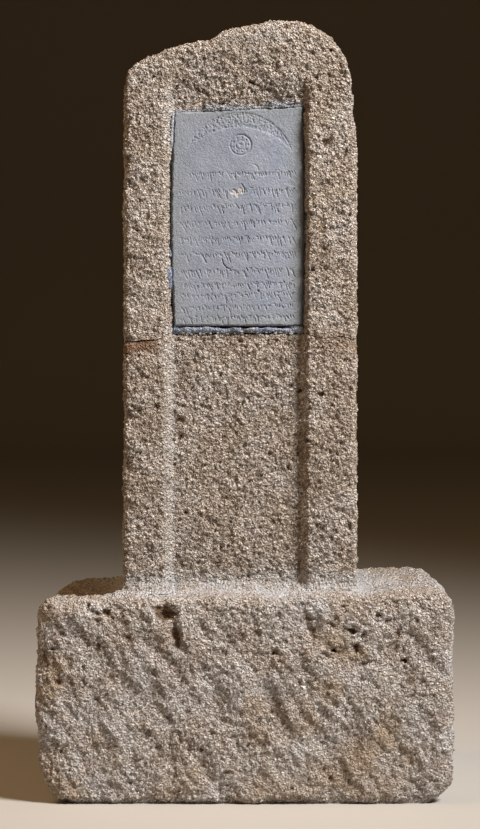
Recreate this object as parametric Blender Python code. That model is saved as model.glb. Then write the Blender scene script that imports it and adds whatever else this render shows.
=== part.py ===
"""A votive cippus: a broken and mended stone shaft with an inset plaque, bedded on a rough stone block.

Run it with blender --background --python part.py, or from Blender's text editor. Lengths are in metres.
The front faces -Y. The block stands on Z = 0, with the middle of its underside at the origin.
"""

import math
import random

import bmesh
import bpy
from mathutils import Vector, noise

# The face that runs between neighbouring pieces
GAP = 0.0003

# The shaft, across its front from left to right
LEFT_BORDER = 0.050
RIGHT_BORDER = 0.060
STEP_WIDTH = 0.0155
FIELD_WIDTH = 0.160
# The shaft, from front to back
SHAFT_DEPTH = 0.175
FIELD_SINK = 0.012
SHAFT_ARRIS = 0.007
# The shaft, upwards from its bed
LOWER_HEIGHT = 0.317
HEAD_HEIGHT = 0.115
FIELD_FADE = 0.048
CROWN_ROUND = 0.018

# The rough block: how far it stands out past each side of the shaft
BLOCK_HEIGHT = 0.265
LEFT_LEDGE = 0.110
RIGHT_LEDGE = 0.123
FRONT_LEDGE = 0.060
BACK_LEDGE = 0.125
BLOCK_ARRIS = 0.026
BLOCK_BEVEL = 0.012
TOP_TILT = 0.006
CORNER_LOSS = 0.026

# The mortar under and round the foot of the shaft
BED_THICKNESS = 0.006
FILLET_WIDTH = 0.018
FILLET_HEIGHT = 0.016

# The mortar in the break, at its middle
MEND_THICKNESS = 0.008

# The plaque, and the joints of bedding round it
PLAQUE_HEIGHT = 0.284
PLAQUE_THICKNESS = 0.014
PLAQUE_SINK = 0.008
PLAQUE_SKEW = 0.008
PLAQUE_BOW = 0.004
RIGHT_LAP = 0.0055
BACK_JOINT = 0.004
LEFT_JOINT = 0.004
RIGHT_JOINT = 0.002
TOP_JOINT = 0.003
SILL_JOINT = 0.009

# The signs cut in the plaque
CRESCENT_SPAN = 0.134
CRESCENT_RISE = 0.047
CRESCENT_HOLLOW = 0.028
CRESCENT_DROP = 0.055
DISC_RADIUS = 0.0142
DISC_DROP = 0.050
SIGN_DEPTH = 0.001
ROW_COUNT = 11
ROW_PITCH = 0.0187
FIRST_ROW_DROP = 0.081
ROW_INSET = 0.009
STROKE_PITCH = 0.0086
STROKE_WIDTH = 0.0017
STROKE_DEPTH = 0.0009

# The disc's two rings: shares of its radius, outside and inside, and their sides
DISC_RINGS = ((1.00, 0.88, 20), (0.60, 0.45, 14))

# How coarse the facets are, and the steps along each edge of the plaque
SHAFT_CELL = 0.025
BLOCK_CELL = 0.026
OUTLINE_STEPS = 4

# How uneven the stone is: reach in or out, the wear of the right side level with the plaque's top, and
# the size of the swells
SHAFT_UNEVEN = 0.0016
SHOULDER_WEAR = 0.0040
SHOULDER_SPREAD = 0.030
BLOCK_UNEVEN = 0.0050
SWELL = 0.085

# Places that follow from the sizes above
SHAFT_WIDTH = LEFT_BORDER + FIELD_WIDTH + RIGHT_BORDER + 2 * STEP_WIDTH
BLOCK_WIDTH = LEFT_LEDGE + SHAFT_WIDTH + RIGHT_LEDGE
BLOCK_DEPTH = FRONT_LEDGE + SHAFT_DEPTH + BACK_LEDGE
SHAFT_LEFT = LEFT_LEDGE - BLOCK_WIDTH / 2
SHAFT_RIGHT = SHAFT_LEFT + SHAFT_WIDTH
SHAFT_FRONT = FRONT_LEDGE - BLOCK_DEPTH / 2
SHAFT_BACK = SHAFT_FRONT + SHAFT_DEPTH
FIELD_LEFT = SHAFT_LEFT + LEFT_BORDER + STEP_WIDTH
FIELD_RIGHT = FIELD_LEFT + FIELD_WIDTH
FIELD_FRONT = SHAFT_FRONT + FIELD_SINK
PLAQUE_LEFT = FIELD_LEFT
PLAQUE_RIGHT = FIELD_RIGHT + RIGHT_LAP
PLAQUE_MIDDLE = (PLAQUE_LEFT + PLAQUE_RIGHT) / 2
PLAQUE_FRONT = SHAFT_FRONT + PLAQUE_SINK
PLAQUE_BACK = PLAQUE_FRONT + PLAQUE_THICKNESS
SOCKET_LEFT = PLAQUE_LEFT - LEFT_JOINT - PLAQUE_BOW
SOCKET_RIGHT = PLAQUE_RIGHT + RIGHT_JOINT + PLAQUE_BOW
SOCKET_BACK = PLAQUE_BACK + BACK_JOINT
SHAFT_FOOT = BLOCK_HEIGHT + GAP + BED_THICKNESS
BREAK_LEVEL = SHAFT_FOOT + GAP + LOWER_HEIGHT
MEND_TOP = BREAK_LEVEL + GAP + MEND_THICKNESS
UPPER_FOOT = MEND_TOP + GAP
PLAQUE_FOOT = UPPER_FOOT + SILL_JOINT
PLAQUE_TOP = PLAQUE_FOOT + PLAQUE_HEIGHT
SHAFT_TOP = PLAQUE_TOP + HEAD_HEIGHT

# The worn outline of the shaft's top: share of the width from the left, and drop in metres
CROWN = (
    (0.000, 0.080),
    (0.013, 0.066),
    (0.047, 0.057),
    (0.100, 0.049),
    (0.167, 0.040),
    (0.236, 0.033),
    (0.305, 0.029),
    (0.373, 0.027),
    (0.395, 0.019),
    (0.430, 0.013),
    (0.545, 0.006),
    (0.620, 0.001),
    (0.740, 0.001),
    (0.785, 0.006),
    (0.837, 0.012),
    (0.888, 0.021),
    (0.923, 0.032),
    (0.957, 0.048),
    (0.982, 0.066),
    (1.000, 0.090),
)
# The wander of the break: share of the way in from each side to the socket, and rise of the lower edge
LEFT_BREAK = ((0.0, -0.017), (0.36, -0.015), (0.55, -0.011), (0.85, -0.005), (1.0, 0.0))
RIGHT_BREAK = ((0.0, -0.006), (0.6, -0.004), (1.0, 0.0))
# The same for the mortar's thickness, as a share of its thickness at the middle
LEFT_MEND = ((0.0, 1.7), (0.45, 1.7), (0.8, 0.9), (1.0, 1.0))
RIGHT_MEND = ((0.0, 0.9), (0.3, 1.2), (0.7, 0.6), (1.0, 1.0))
# Hollows in the block's front: shares of its width and height, then half width, half height and depth
HOLLOWS = (
    (0.305, 0.90, 0.020, 0.030, 0.018),
    (0.165, 0.93, 0.022, 0.012, 0.009),
    (0.735, 0.80, 0.026, 0.020, 0.013),
    (0.855, 0.90, 0.012, 0.024, 0.010),
    (0.145, 0.73, 0.024, 0.018, 0.007),
    (0.010, 0.71, 0.020, 0.024, 0.012),
    (0.520, 0.80, 0.018, 0.026, 0.006),
    (0.660, 0.54, 0.040, 0.024, 0.007),
    (0.265, 0.50, 0.016, 0.044, 0.007),
    (0.655, 0.23, 0.022, 0.026, 0.008),
    (0.425, 0.30, 0.026, 0.020, 0.005),
    (0.290, 0.01, 0.018, 0.014, 0.008),
)


def ramp(start, end, value):
    """0 before start, 1 after end, with a smooth S between them."""
    share = min(1.0, max(0.0, (value - start) / (end - start)))
    return share * share * (3 - 2 * share)


def along(table, share):
    """The value at a share of a table of (share, value) pairs, on straight lines between them."""
    for (start, low), (end, high) in zip(table, table[1:]):
        if share <= end:
            return low + (high - low) * max(0.0, share - start) / (end - start)
    return table[-1][1]


def swells(x, y, z, size, seed):
    """A smooth unevenness from -1 to 1, with swells about size across."""
    return noise.noise(Vector((x, y, z)) / size + Vector((seed, 2 * seed, 3 * seed)))


def cuts(marks, spacing):
    """The marks with even cuts between them, none further apart than spacing."""
    found = [marks[0]]
    for start, end in zip(marks, marks[1:]):
        parts = max(1, math.ceil((end - start) / spacing - 0.001))
        found += [start + (end - start) * step / parts for step in range(1, parts + 1)]
    return found


def stone(name, colour, roughness):
    """A plain stone or mortar finish."""
    material = bpy.data.materials.new(name)
    material.use_nodes = True
    shader = material.node_tree.nodes["Principled BSDF"]
    shader.inputs["Base Color"].default_value = (*colour, 1.0)
    shader.inputs["Roughness"].default_value = roughness
    shader.inputs["Metallic"].default_value = 0.0
    return material


def piece(name, mesh, material):
    """The bmesh as a named object with its finish."""
    bmesh.ops.recalc_face_normals(mesh, faces=mesh.faces[:])
    data = bpy.data.meshes.new(name)
    mesh.to_mesh(data)
    mesh.free()
    data.materials.append(material)
    made = bpy.data.objects.new(name, data)
    bpy.context.collection.objects.link(made)
    return made


def cut_block(xs, ys, zs, carve):
    """A box cut through at xs, ys and zs, whose points carve() then moves."""
    mesh = bmesh.new()
    bmesh.ops.create_cube(mesh, size=1.0)
    for vertex in mesh.verts:
        for axis, places in enumerate((xs, ys, zs)):
            vertex.co[axis] = places[0] if vertex.co[axis] < 0 else places[-1]
    for axis, places in enumerate((xs, ys, zs)):
        normal = Vector((axis == 0, axis == 1, axis == 2))
        for place in places[1:-1]:
            everything = mesh.verts[:] + mesh.edges[:] + mesh.faces[:]
            bmesh.ops.bisect_plane(mesh, geom=everything, plane_co=normal * place, plane_no=normal)
    for vertex in mesh.verts:
        vertex.co = carve(*vertex.co)
    return mesh


def tray(loops):
    """A closed skin through loops of equally many points, with a face over the first and the last."""
    mesh = bmesh.new()
    rings = [[mesh.verts.new(point) for point in loop] for loop in loops]
    count = len(rings[0])
    for low, high in zip(rings, rings[1:]):
        for here in range(count):
            after = (here + 1) % count
            mesh.faces.new((low[here], low[after], high[after], high[here]))
    mesh.faces.new(rings[0][::-1])
    mesh.faces.new(rings[-1])
    return mesh


def rounded(place, low, high, radii):
    """A point of a box moved onto the same box with round edges, and the way out from it."""
    limits = list(zip(place, low, high, radii))
    inner = Vector([min(max(p, a + radius), b - radius) for p, a, b, radius in limits])
    out = Vector([(p - q) / radius for p, q, radius in zip(place, inner, radii)])
    if out.length < 1e-9:
        return Vector(place), out
    out *= max(abs(part) for part in out) / out.length
    return inner + Vector([part * radius for part, radius in zip(out, radii)]), out


# The shaft


def field_sink(x, z):
    """How far the front is cut back at a place: the sunk field, which dies out above the plaque."""
    left = ramp(FIELD_LEFT - STEP_WIDTH, FIELD_LEFT, x)
    right = 1 - ramp(FIELD_RIGHT, FIELD_RIGHT + STEP_WIDTH, x)
    top = 1 - ramp(PLAQUE_TOP, PLAQUE_TOP + FIELD_FADE, z)
    return FIELD_SINK * left * right * top


def shaft_plan(x, y, z):
    """Where a point of the shaft's plain box section lies on the carved stone."""
    low = (SHAFT_LEFT, SHAFT_FRONT)
    high = (SHAFT_RIGHT, SHAFT_BACK)
    spot, out = rounded((x, y), low, high, (SHAFT_ARRIS, SHAFT_ARRIS))
    spot += out * SHAFT_UNEVEN * swells(spot[0], spot[1], z, SWELL, 3)
    shoulder = math.exp(-(((z - PLAQUE_TOP) / SHOULDER_SPREAD) ** 2))
    spot[0] -= SHOULDER_WEAR * shoulder * ramp(SHAFT_RIGHT - RIGHT_BORDER / 2, SHAFT_RIGHT, x)
    forward = (SHAFT_BACK - y) / SHAFT_DEPTH
    return spot[0], spot[1] + field_sink(x, z) * forward


def break_share(x):
    """Which side of the socket x is on, and its share of the way in from that side."""
    if x < PLAQUE_MIDDLE:
        return "left", min(1.0, (x - SHAFT_LEFT) / (SOCKET_LEFT - SHAFT_LEFT))
    return "right", min(1.0, (SHAFT_RIGHT - x) / (SHAFT_RIGHT - SOCKET_RIGHT))


def break_height(x):
    """The height of the lower fragment's broken top."""
    side, share = break_share(x)
    return BREAK_LEVEL + along(LEFT_BREAK if side == "left" else RIGHT_BREAK, share)


def mend_thickness(x):
    """How thick the mortar in the break is."""
    side, share = break_share(x)
    return MEND_THICKNESS * along(LEFT_MEND if side == "left" else RIGHT_MEND, share)


def crown_height(x, y):
    """The height of the shaft's worn top, which falls a little towards the back."""
    drop = along(CROWN, (x - SHAFT_LEFT) / SHAFT_WIDTH)
    back = (y - SHAFT_FRONT) / SHAFT_DEPTH
    ends = min(back, 1 - back) * SHAFT_DEPTH / CROWN_ROUND
    round_off = CROWN_ROUND * 0.5 * (1 - min(1.0, ends)) ** 2
    return SHAFT_TOP - drop - round_off - 0.1 * HEAD_HEIGHT * back * back


def shaft_xs(spacing):
    """The cuts across the shaft, on its arrises, steps and socket."""
    marks = [
        SHAFT_LEFT,
        SHAFT_LEFT + SHAFT_ARRIS / 2,
        SHAFT_LEFT + SHAFT_ARRIS,
        FIELD_LEFT - STEP_WIDTH,
        FIELD_LEFT - STEP_WIDTH / 2,
        FIELD_LEFT,
        FIELD_RIGHT,
        FIELD_RIGHT + STEP_WIDTH / 2,
        FIELD_RIGHT + STEP_WIDTH,
        SHAFT_RIGHT - SHAFT_ARRIS,
        SHAFT_RIGHT - SHAFT_ARRIS / 2,
        SHAFT_RIGHT,
    ]
    return cuts(marks, spacing)


def shaft_ys():
    """The cuts from the shaft's front to its back."""
    marks = [SHAFT_FRONT, SHAFT_FRONT + SHAFT_ARRIS / 2, SHAFT_FRONT + SHAFT_ARRIS]
    marks += [SHAFT_BACK - SHAFT_ARRIS, SHAFT_BACK - SHAFT_ARRIS / 2, SHAFT_BACK]
    return cuts(marks, 1.8 * SHAFT_CELL)


def lower_shaft(material):
    """The lower fragment, from its bed to the break."""
    top = BREAK_LEVEL

    def carve(x, y, z):
        across, deep = shaft_plan(x, y, z)
        share = max(0.0, z - SHAFT_FOOT - FILLET_HEIGHT - GAP) / (top - SHAFT_FOOT - FILLET_HEIGHT - GAP)
        return across, deep, z + share * (break_height(x) - top)

    foot = SHAFT_FOOT + GAP
    zs = cuts([foot, foot + FILLET_HEIGHT, top], SHAFT_CELL)
    mesh = cut_block(shaft_xs(SHAFT_CELL), shaft_ys(), zs, carve)
    return piece("lower_shaft", mesh, material)


def mend_mortar(material):
    """The mortar in the break, with the broken faces' own wander."""
    low = BREAK_LEVEL + GAP

    def carve(x, y, z):
        across, deep = shaft_plan(x, y, BREAK_LEVEL)
        thickness = mend_thickness(x) if z > low + GAP else 0.0
        return across, deep, break_height(x) + GAP + thickness

    mesh = cut_block(shaft_xs(SHAFT_CELL), shaft_ys(), [low, MEND_TOP], carve)
    return piece("mend_mortar", mesh, material)


def upper_shaft(material):
    """The upper fragment, from the break to the worn top, with the socket for the plaque cut in it."""

    def carve(x, y, z):
        foot = break_height(x) + mend_thickness(x) + 2 * GAP
        share = (z - UPPER_FOOT) / (SHAFT_TOP - UPPER_FOOT)
        height = foot + share * (crown_height(x, y) - foot)
        across, deep = shaft_plan(x, y, height if share > 0 else BREAK_LEVEL)
        return across, deep, height

    zs = cuts([UPPER_FOOT, SHAFT_TOP], SHAFT_CELL)
    mesh = cut_block(shaft_xs(SHAFT_CELL), shaft_ys(), zs, carve)
    made = piece("upper_shaft", mesh, material)
    front = SHAFT_FRONT - FIELD_SINK
    below = UPPER_FOOT - 3 * MEND_THICKNESS
    outline = plaque_outline(LEFT_JOINT, RIGHT_JOINT, TOP_JOINT, PLAQUE_FOOT - below)
    loops = [[(x, y, z) for x, z in outline] for y in (front, SOCKET_BACK)]
    cut_away(made, piece("socket_cutter", tray(loops), material))
    return made


# The plaque and its bedding


def plaque_outline(left, right, top, bottom):
    """The plaque's slightly skewed and bowed outline, anticlockwise from its lower left, let out all round."""
    shares = [step / OUTLINE_STEPS for step in range(OUTLINE_STEPS)]
    low = PLAQUE_FOOT - bottom
    high = PLAQUE_TOP + top
    left_high = high - PLAQUE_SKEW
    x0 = PLAQUE_LEFT - left
    x1 = PLAQUE_RIGHT + right
    points = [(x0 + (x1 - x0) * share, low) for share in shares]
    for share in shares:
        bow = PLAQUE_BOW * 2 * share * (1 - share)
        points.append((x1 + bow, low + (high - low) * share))
    points += [(x1 - (x1 - x0) * share, high - PLAQUE_SKEW * share) for share in shares]
    for share in shares:
        bow = PLAQUE_BOW * 4 * share * (1 - share)
        points.append((x0 - bow, left_high - (left_high - low) * share))
    return points


def plaque_bedding(material):
    """A tray of mortar behind and round the plaque, brimming at the sill and in lumps at the left."""
    wall = SOCKET_BACK - GAP
    floor = PLAQUE_BACK + GAP
    outer = plaque_outline(LEFT_JOINT - GAP, RIGHT_JOINT - GAP, TOP_JOINT - GAP, SILL_JOINT - GAP)
    inner = plaque_outline(GAP, GAP, GAP, GAP)
    brims = []
    for x, z in outer:
        share = (z - PLAQUE_FOOT) / PLAQUE_HEIGHT
        lump = max(0.0, 1 - abs(share - 0.25) / 0.2) + (share < 0.1) + 0.9 * (share > 0.9)
        brims.append(PLAQUE_FRONT + PLAQUE_THICKNESS * (0.75 - 0.6 * min(1.0, lump)))
    loops = [
        [(x, wall, z) for x, z in outer],
        [(x, brim, z) for (x, z), brim in zip(outer, brims)],
        [(x, brim, z) for (x, z), brim in zip(inner, brims)],
        [(x, floor, z) for x, z in inner],
    ]
    return piece("plaque_bedding", tray(loops), material)


def arc(half_span, rise, count):
    """Points of a round arch over a span, from right to left, with its feet at height 0."""
    radius = (half_span**2 + rise**2) / (2 * rise)
    reach = math.asin(half_span / radius)
    turns = [reach - 2 * reach * step / count for step in range(count + 1)]
    return [(radius * math.sin(turn), radius * math.cos(turn) - radius + rise) for turn in turns]


def sign_cutter(mesh, outline, x, z):
    """Adds a prism over an outline to a cutter, centred on a place of the plaque's face."""
    front = PLAQUE_FRONT - SIGN_DEPTH
    floor = PLAQUE_FRONT + SIGN_DEPTH
    rings = []
    for y in (front, floor):
        rings.append([mesh.verts.new((x + across, y, z + up)) for across, up in outline])
    count = len(outline)
    for here in range(count):
        after = (here + 1) % count
        mesh.faces.new((rings[0][here], rings[0][after], rings[1][after], rings[1][here]))
    mesh.faces.new(rings[0][::-1])
    mesh.faces.new(rings[1])


def ring_cutter(mesh, outer, inner, x, z, count):
    """Adds an annular prism to a cutter."""
    front = PLAQUE_FRONT - SIGN_DEPTH
    floor = PLAQUE_FRONT + SIGN_DEPTH
    rings = []
    for radius, y in ((outer, front), (outer, floor), (inner, floor), (inner, front)):
        turns = [2 * math.pi * step / count for step in range(count)]
        points = [(x + radius * math.cos(turn), y, z + radius * math.sin(turn)) for turn in turns]
        rings.append([mesh.verts.new(point) for point in points])
    for low, high in zip(rings, rings[1:] + rings[:1]):
        for here in range(count):
            after = (here + 1) % count
            mesh.faces.new((low[here], low[after], high[after], high[here]))


def stroke_cutter(mesh, x, z, length, lean):
    """Adds one chisel stroke, a long four-sided point, to a cutter."""
    face = PLAQUE_FRONT - STROKE_DEPTH / 4
    run = Vector((math.sin(lean), 0, math.cos(lean))) * length / 2
    side = Vector((math.cos(lean), 0, -math.sin(lean))) * STROKE_WIDTH / 2
    middle = Vector((x, face, z))
    rim = [mesh.verts.new(middle + step) for step in (run, side, -run, -side)]
    top = mesh.verts.new(middle - Vector((0, STROKE_DEPTH, 0)))
    tip = mesh.verts.new(middle + Vector((0, STROKE_DEPTH * 1.25, 0)))
    for here in range(4):
        mesh.faces.new((rim[here], rim[(here + 1) % 4], top))
        mesh.faces.new((rim[(here + 1) % 4], rim[here], tip))


def strokes():
    """The rows of plain strokes that stand for the inscription: x, z, length and lean of each."""
    chance = random.Random(11)
    left = PLAQUE_LEFT + ROW_INSET
    count = int((PLAQUE_RIGHT - PLAQUE_LEFT - 2 * ROW_INSET) / STROKE_PITCH)
    for row in range(ROW_COUNT):
        level = PLAQUE_TOP - FIRST_ROW_DROP - ROW_PITCH * row
        for step in range(count):
            x = left + STROKE_PITCH * (step + 0.5 + chance.uniform(-0.15, 0.15))
            length = ROW_PITCH * chance.choice((0.3, 0.35, 0.45, 0.7))
            lean = chance.uniform(-0.35, 0.15)
            if level - length > PLAQUE_FOOT + STROKE_WIDTH:
                yield x, level - length / 2, length, lean


def plaque(material):
    """The slab, with the crescent, disc and rows of strokes cut in its face."""
    outline = plaque_outline(0, 0, 0, 0)
    loops = [[(x, y, z) for x, z in outline] for y in (PLAQUE_FRONT, PLAQUE_BACK)]
    made = piece("plaque", tray(loops), material)
    cutter = bmesh.new()
    outer = arc(CRESCENT_SPAN / 2, CRESCENT_RISE, 20)
    inner = arc(CRESCENT_SPAN / 2, CRESCENT_HOLLOW, 16)
    crescent_foot = PLAQUE_TOP - CRESCENT_DROP
    sign_cutter(cutter, outer + inner[-2:0:-1], PLAQUE_MIDDLE, crescent_foot)
    disc_middle = PLAQUE_TOP - DISC_DROP
    for outer_share, inner_share, sides in DISC_RINGS:
        radii = (outer_share * DISC_RADIUS, inner_share * DISC_RADIUS)
        ring_cutter(cutter, *radii, PLAQUE_MIDDLE, disc_middle, sides)
    for stroke in strokes():
        stroke_cutter(cutter, *stroke)
    cut_away(made, piece("sign_cutter", cutter, material))
    return made


def cut_away(made, cutter):
    """Cuts one object out of another, and keeps the cutter as a hidden guide."""
    cutter.hide_render = True
    cutter.display_type = "WIRE"
    modifier = made.modifiers.new("Cut", "BOOLEAN")
    modifier.operation = "DIFFERENCE"
    modifier.solver = "EXACT"
    modifier.object = cutter


# The block and the mortar on it


def fillet_reach():
    """How far the fillet runs out, which the narrowest ledge limits."""
    return min(FILLET_WIDTH, 0.45 * min(LEFT_LEDGE, RIGHT_LEDGE, FRONT_LEDGE, BACK_LEDGE))


def foot_mortar(material):
    """A tray of mortar under the shaft, with a hollow fillet up its sides."""
    xs = shaft_xs(SHAFT_CELL)
    ys = shaft_ys()
    stations = [(x, ys[0]) for x in xs] + [(xs[-1], y) for y in ys[1:]]
    stations += [(x, ys[-1]) for x in xs[-2::-1]] + [(xs[0], y) for y in ys[-2:0:-1]]
    bottom = BLOCK_HEIGHT + GAP
    lip = bottom + BED_THICKNESS * 0.4
    foot = SHAFT_FOOT + GAP
    reach = fillet_reach()
    middle = Vector(((SHAFT_LEFT + SHAFT_RIGHT) / 2, (SHAFT_FRONT + SHAFT_BACK) / 2))

    def plan(z):
        """The shaft's outline at a height, let out by the gap."""
        points = [Vector(shaft_plan(x, y, z)) for x, y in stations]
        found = []
        for before, here, after in zip(points[-1:] + points, points, points[1:] + points[:1]):
            run = (after - before).normalized()
            found.append(here + Vector((run.y, -run.x)) * GAP * 1.3)
        return found

    feet = plan(foot)
    heads = plan(foot + FILLET_HEIGHT)
    edges, lips, bellies, rims = [], [], [], []
    low = (SHAFT_LEFT, SHAFT_FRONT)
    high = (SHAFT_RIGHT, SHAFT_BACK)
    for (x, y), at_foot, at_head in zip(stations, feet, heads):
        spot, out = rounded((x, y), low, high, (SHAFT_ARRIS, SHAFT_ARRIS))
        swing = 0.85 + 0.15 * swells(x, y, 0, SWELL, 9)
        climb = 0.80 + 0.20 * swells(x, y, 0, SWELL, 5)
        edge = spot + out * reach * swing
        rim = at_foot.lerp(at_head, climb)
        belly = edge.lerp(rim, 0.72)
        edges.append((*edge, bottom))
        lips.append((*edge, lip))
        bellies.append((*belly, lip + (foot - lip + FILLET_HEIGHT * climb) * 0.42))
        rims.append((*rim, foot + FILLET_HEIGHT * climb))
    floors = [(*spot, SHAFT_FOOT) for spot in feet]
    return piece("foot_mortar", tray([edges, lips, bellies, rims, floors]), material)


def base_block(material):
    """The roughly hewn block: round-edged, uneven and hollowed, but flat below and where the mortar lies."""
    half = Vector((BLOCK_WIDTH / 2, BLOCK_DEPTH / 2))
    low = (-half.x, -half.y, 0.0)
    high = (half.x, half.y, BLOCK_HEIGHT)
    ledges = min(LEFT_LEDGE, RIGHT_LEDGE, FRONT_LEDGE, BACK_LEDGE)
    arris = min(BLOCK_ARRIS, 0.45 * ledges)
    bevel = min(BLOCK_BEVEL, arris)
    seat = fillet_reach() + GAP
    seats = ((SHAFT_LEFT - seat, SHAFT_RIGHT + seat), (SHAFT_FRONT - seat, SHAFT_BACK + seat))

    def carve(x, y, z):
        spot, out = rounded((x, y, z), low, high, (arris, bevel, arris))
        if z < arris / 8:
            out.z = 0.0
        beyond = max(SHAFT_LEFT - x, x - SHAFT_RIGHT, SHAFT_FRONT - y, y - SHAFT_BACK)
        off_seat = ramp(seat, seat + arris / 2, beyond) if z > BLOCK_HEIGHT - arris / 8 else 1.0
        swell = swells(x, y, z, 1.4 * SWELL, 1) + 0.5 * swells(x, y, z, 0.6 * SWELL, 2)
        spot += out * BLOCK_UNEVEN * (min(0.15, swell) - 0.15) * off_seat
        if y < -half.y + bevel:
            for across, up, half_width, half_height, depth in HOLLOWS:
                aside = (x - BLOCK_WIDTH * (across - 0.5)) / half_width
                above = (z - BLOCK_HEIGHT * up) / half_height
                spot += out * -depth * math.exp(-aside * aside - above * above) * off_seat
        if z > 0.0:
            lost = ramp(1.2, 2.1, y / half.y - x / half.x)
            lost += 0.3 * ramp(-0.8, 0.0, y / half.y) * ramp(0.6, 1.0, -x / half.x) * (1 - lost)
            tilt = TOP_TILT * x / half.x - 0.2 * CORNER_LOSS * lost
            spot.z += tilt * off_seat * (z / BLOCK_HEIGHT) ** 4
            spot += Vector((1, -0.4, 0)) * CORNER_LOSS * lost * (z / BLOCK_HEIGHT) ** 3
        spot.z = max(0.0, spot.z)
        return spot

    flat = []
    for axis, curve in enumerate((arris, bevel)):
        start = [low[axis], low[axis] + curve / 3, low[axis] + curve]
        end = [high[axis] - curve, high[axis] - curve / 3, high[axis]]
        flat.append(cuts(start + list(seats[axis]) + end, (1 + 0.4 * axis) * BLOCK_CELL))
    heights = [0.0, arris / 3, arris, BLOCK_HEIGHT - arris, BLOCK_HEIGHT - arris / 3, BLOCK_HEIGHT]
    mesh = cut_block(*flat, cuts(heights, BLOCK_CELL), carve)
    for axis in (0, 1):
        for side, inner in zip((-1, 1), seats[axis]):
            reach = max(side * vertex.co[axis] for vertex in mesh.verts)
            stretch = (half[axis] - side * inner) / (reach - side * inner)
            for vertex in mesh.verts:
                if side * vertex.co[axis] > side * inner:
                    vertex.co[axis] = inner + (vertex.co[axis] - inner) * stretch
    underside = [face for face in mesh.faces if max(v.co.z for v in face.verts) < 1e-6]
    bmesh.ops.dissolve_faces(mesh, faces=underside, use_verts=True)
    return piece("base_block", mesh, material)


def build():
    """Makes every piece of the cippus in its place."""
    for old in list(bpy.data.objects):
        bpy.data.objects.remove(old)
    shaft_stone = stone("shaft_stone", (0.30, 0.235, 0.185), 0.95)
    base_block(stone("block_stone", (0.33, 0.27, 0.225), 0.95))
    foot_mortar(stone("pale_mortar", (0.45, 0.42, 0.39), 0.9))
    lower_shaft(shaft_stone)
    mend_mortar(stone("ochre_mortar", (0.30, 0.18, 0.10), 0.9))
    upper_shaft(shaft_stone)
    plaque_bedding(stone("grey_mortar", (0.18, 0.20, 0.23), 0.8))
    plaque(stone("grey_slate", (0.27, 0.285, 0.32), 0.6))


build()
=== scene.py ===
# %% [markdown]
# # A mended votive cippus, dressed in stone
# The real thing is a rough limestone shaft with a sunk field down its front. It broke across once and was
# put together again with ochre mortar. A thin grey slab with a crescent, a disc and rows of writing is
# bedded in the field, and the shaft stands in mortar on a coarse block.
#
# Stone like this has no smooth faces to speak of, so a plain box with a picture on it would never do.
# Every piece below is a fine skin of points worked out with numpy: first the mason's shape, then the wear
# on top of it, pushed in or out along the way each point faces.

import itertools
import math

import bpy
import numpy as np
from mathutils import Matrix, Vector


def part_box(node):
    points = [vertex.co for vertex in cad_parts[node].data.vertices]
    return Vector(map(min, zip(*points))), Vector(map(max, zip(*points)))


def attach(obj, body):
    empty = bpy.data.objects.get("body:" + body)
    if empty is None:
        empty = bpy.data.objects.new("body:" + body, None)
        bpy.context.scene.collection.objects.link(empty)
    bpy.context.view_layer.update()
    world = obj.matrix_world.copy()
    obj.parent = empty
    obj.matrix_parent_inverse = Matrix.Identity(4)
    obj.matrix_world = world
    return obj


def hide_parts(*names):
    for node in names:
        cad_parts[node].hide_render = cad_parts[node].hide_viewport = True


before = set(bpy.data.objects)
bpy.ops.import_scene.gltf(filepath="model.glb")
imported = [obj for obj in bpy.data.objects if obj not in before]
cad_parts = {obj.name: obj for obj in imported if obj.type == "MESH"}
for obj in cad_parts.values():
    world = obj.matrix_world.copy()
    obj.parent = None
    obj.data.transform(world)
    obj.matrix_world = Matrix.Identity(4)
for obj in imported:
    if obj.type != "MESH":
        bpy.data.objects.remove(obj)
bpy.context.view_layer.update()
print("nodes:", sorted(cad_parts))

# %% [markdown]
# ## The sizes that every piece shares
# The front faces -Y and the ground is Z = 0. These lengths, in metres, are the ones that the solid pieces
# were made to. Each piece works its own place out from them, so neighbours keep meeting.

# %% Sizes of the shaft, its field and its break
HAIR = 0.0003
BLOCK_WIDE, BLOCK_DEEP, BLOCK_HIGH = 0.534, 0.360, 0.265
SHAFT_LEFT, SHAFT_RIGHT = -0.157, 0.144
SHAFT_FRONT, SHAFT_BACK = -0.120, 0.055
STEP = 0.0155
ARRIS = 0.008
FIELD_LEFT, FIELD_RIGHT = SHAFT_LEFT + 0.050 + STEP, SHAFT_RIGHT - 0.060 - STEP
FIELD_SINK = 0.012
SHAFT_FOOT = BLOCK_HIGH + HAIR + 0.006
BREAK_LEVEL = SHAFT_FOOT + HAIR + 0.317
MEND_THICK = 0.008
UPPER_FOOT = BREAK_LEVEL + MEND_THICK + 2 * HAIR
PLAQUE_FOOT = UPPER_FOOT + 0.009
PLAQUE_TOP = PLAQUE_FOOT + 0.284
SHAFT_TOP = PLAQUE_TOP + 0.115
PLAQUE_LEFT, PLAQUE_RIGHT = FIELD_LEFT, FIELD_RIGHT + 0.0055
PLAQUE_FRONT = SHAFT_FRONT + 0.008
PLAQUE_BACK = PLAQUE_FRONT + 0.014
SOCKET_BACK = PLAQUE_BACK + 0.004
PLAQUE_SKEW, PLAQUE_BOW = 0.008, 0.004
print(f"shaft {SHAFT_RIGHT - SHAFT_LEFT:.3f} wide, {SHAFT_TOP - SHAFT_FOOT:.3f} tall, top at {SHAFT_TOP:.3f}")

# %% [markdown]
# ## The camera
# The photograph was taken with a long lens, level and nearly square on, with the frame slid down so that
# the foot of the block is in it. Its verticals don't lean, so the camera mustn't tilt: the slide is the
# camera's shift.

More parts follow.
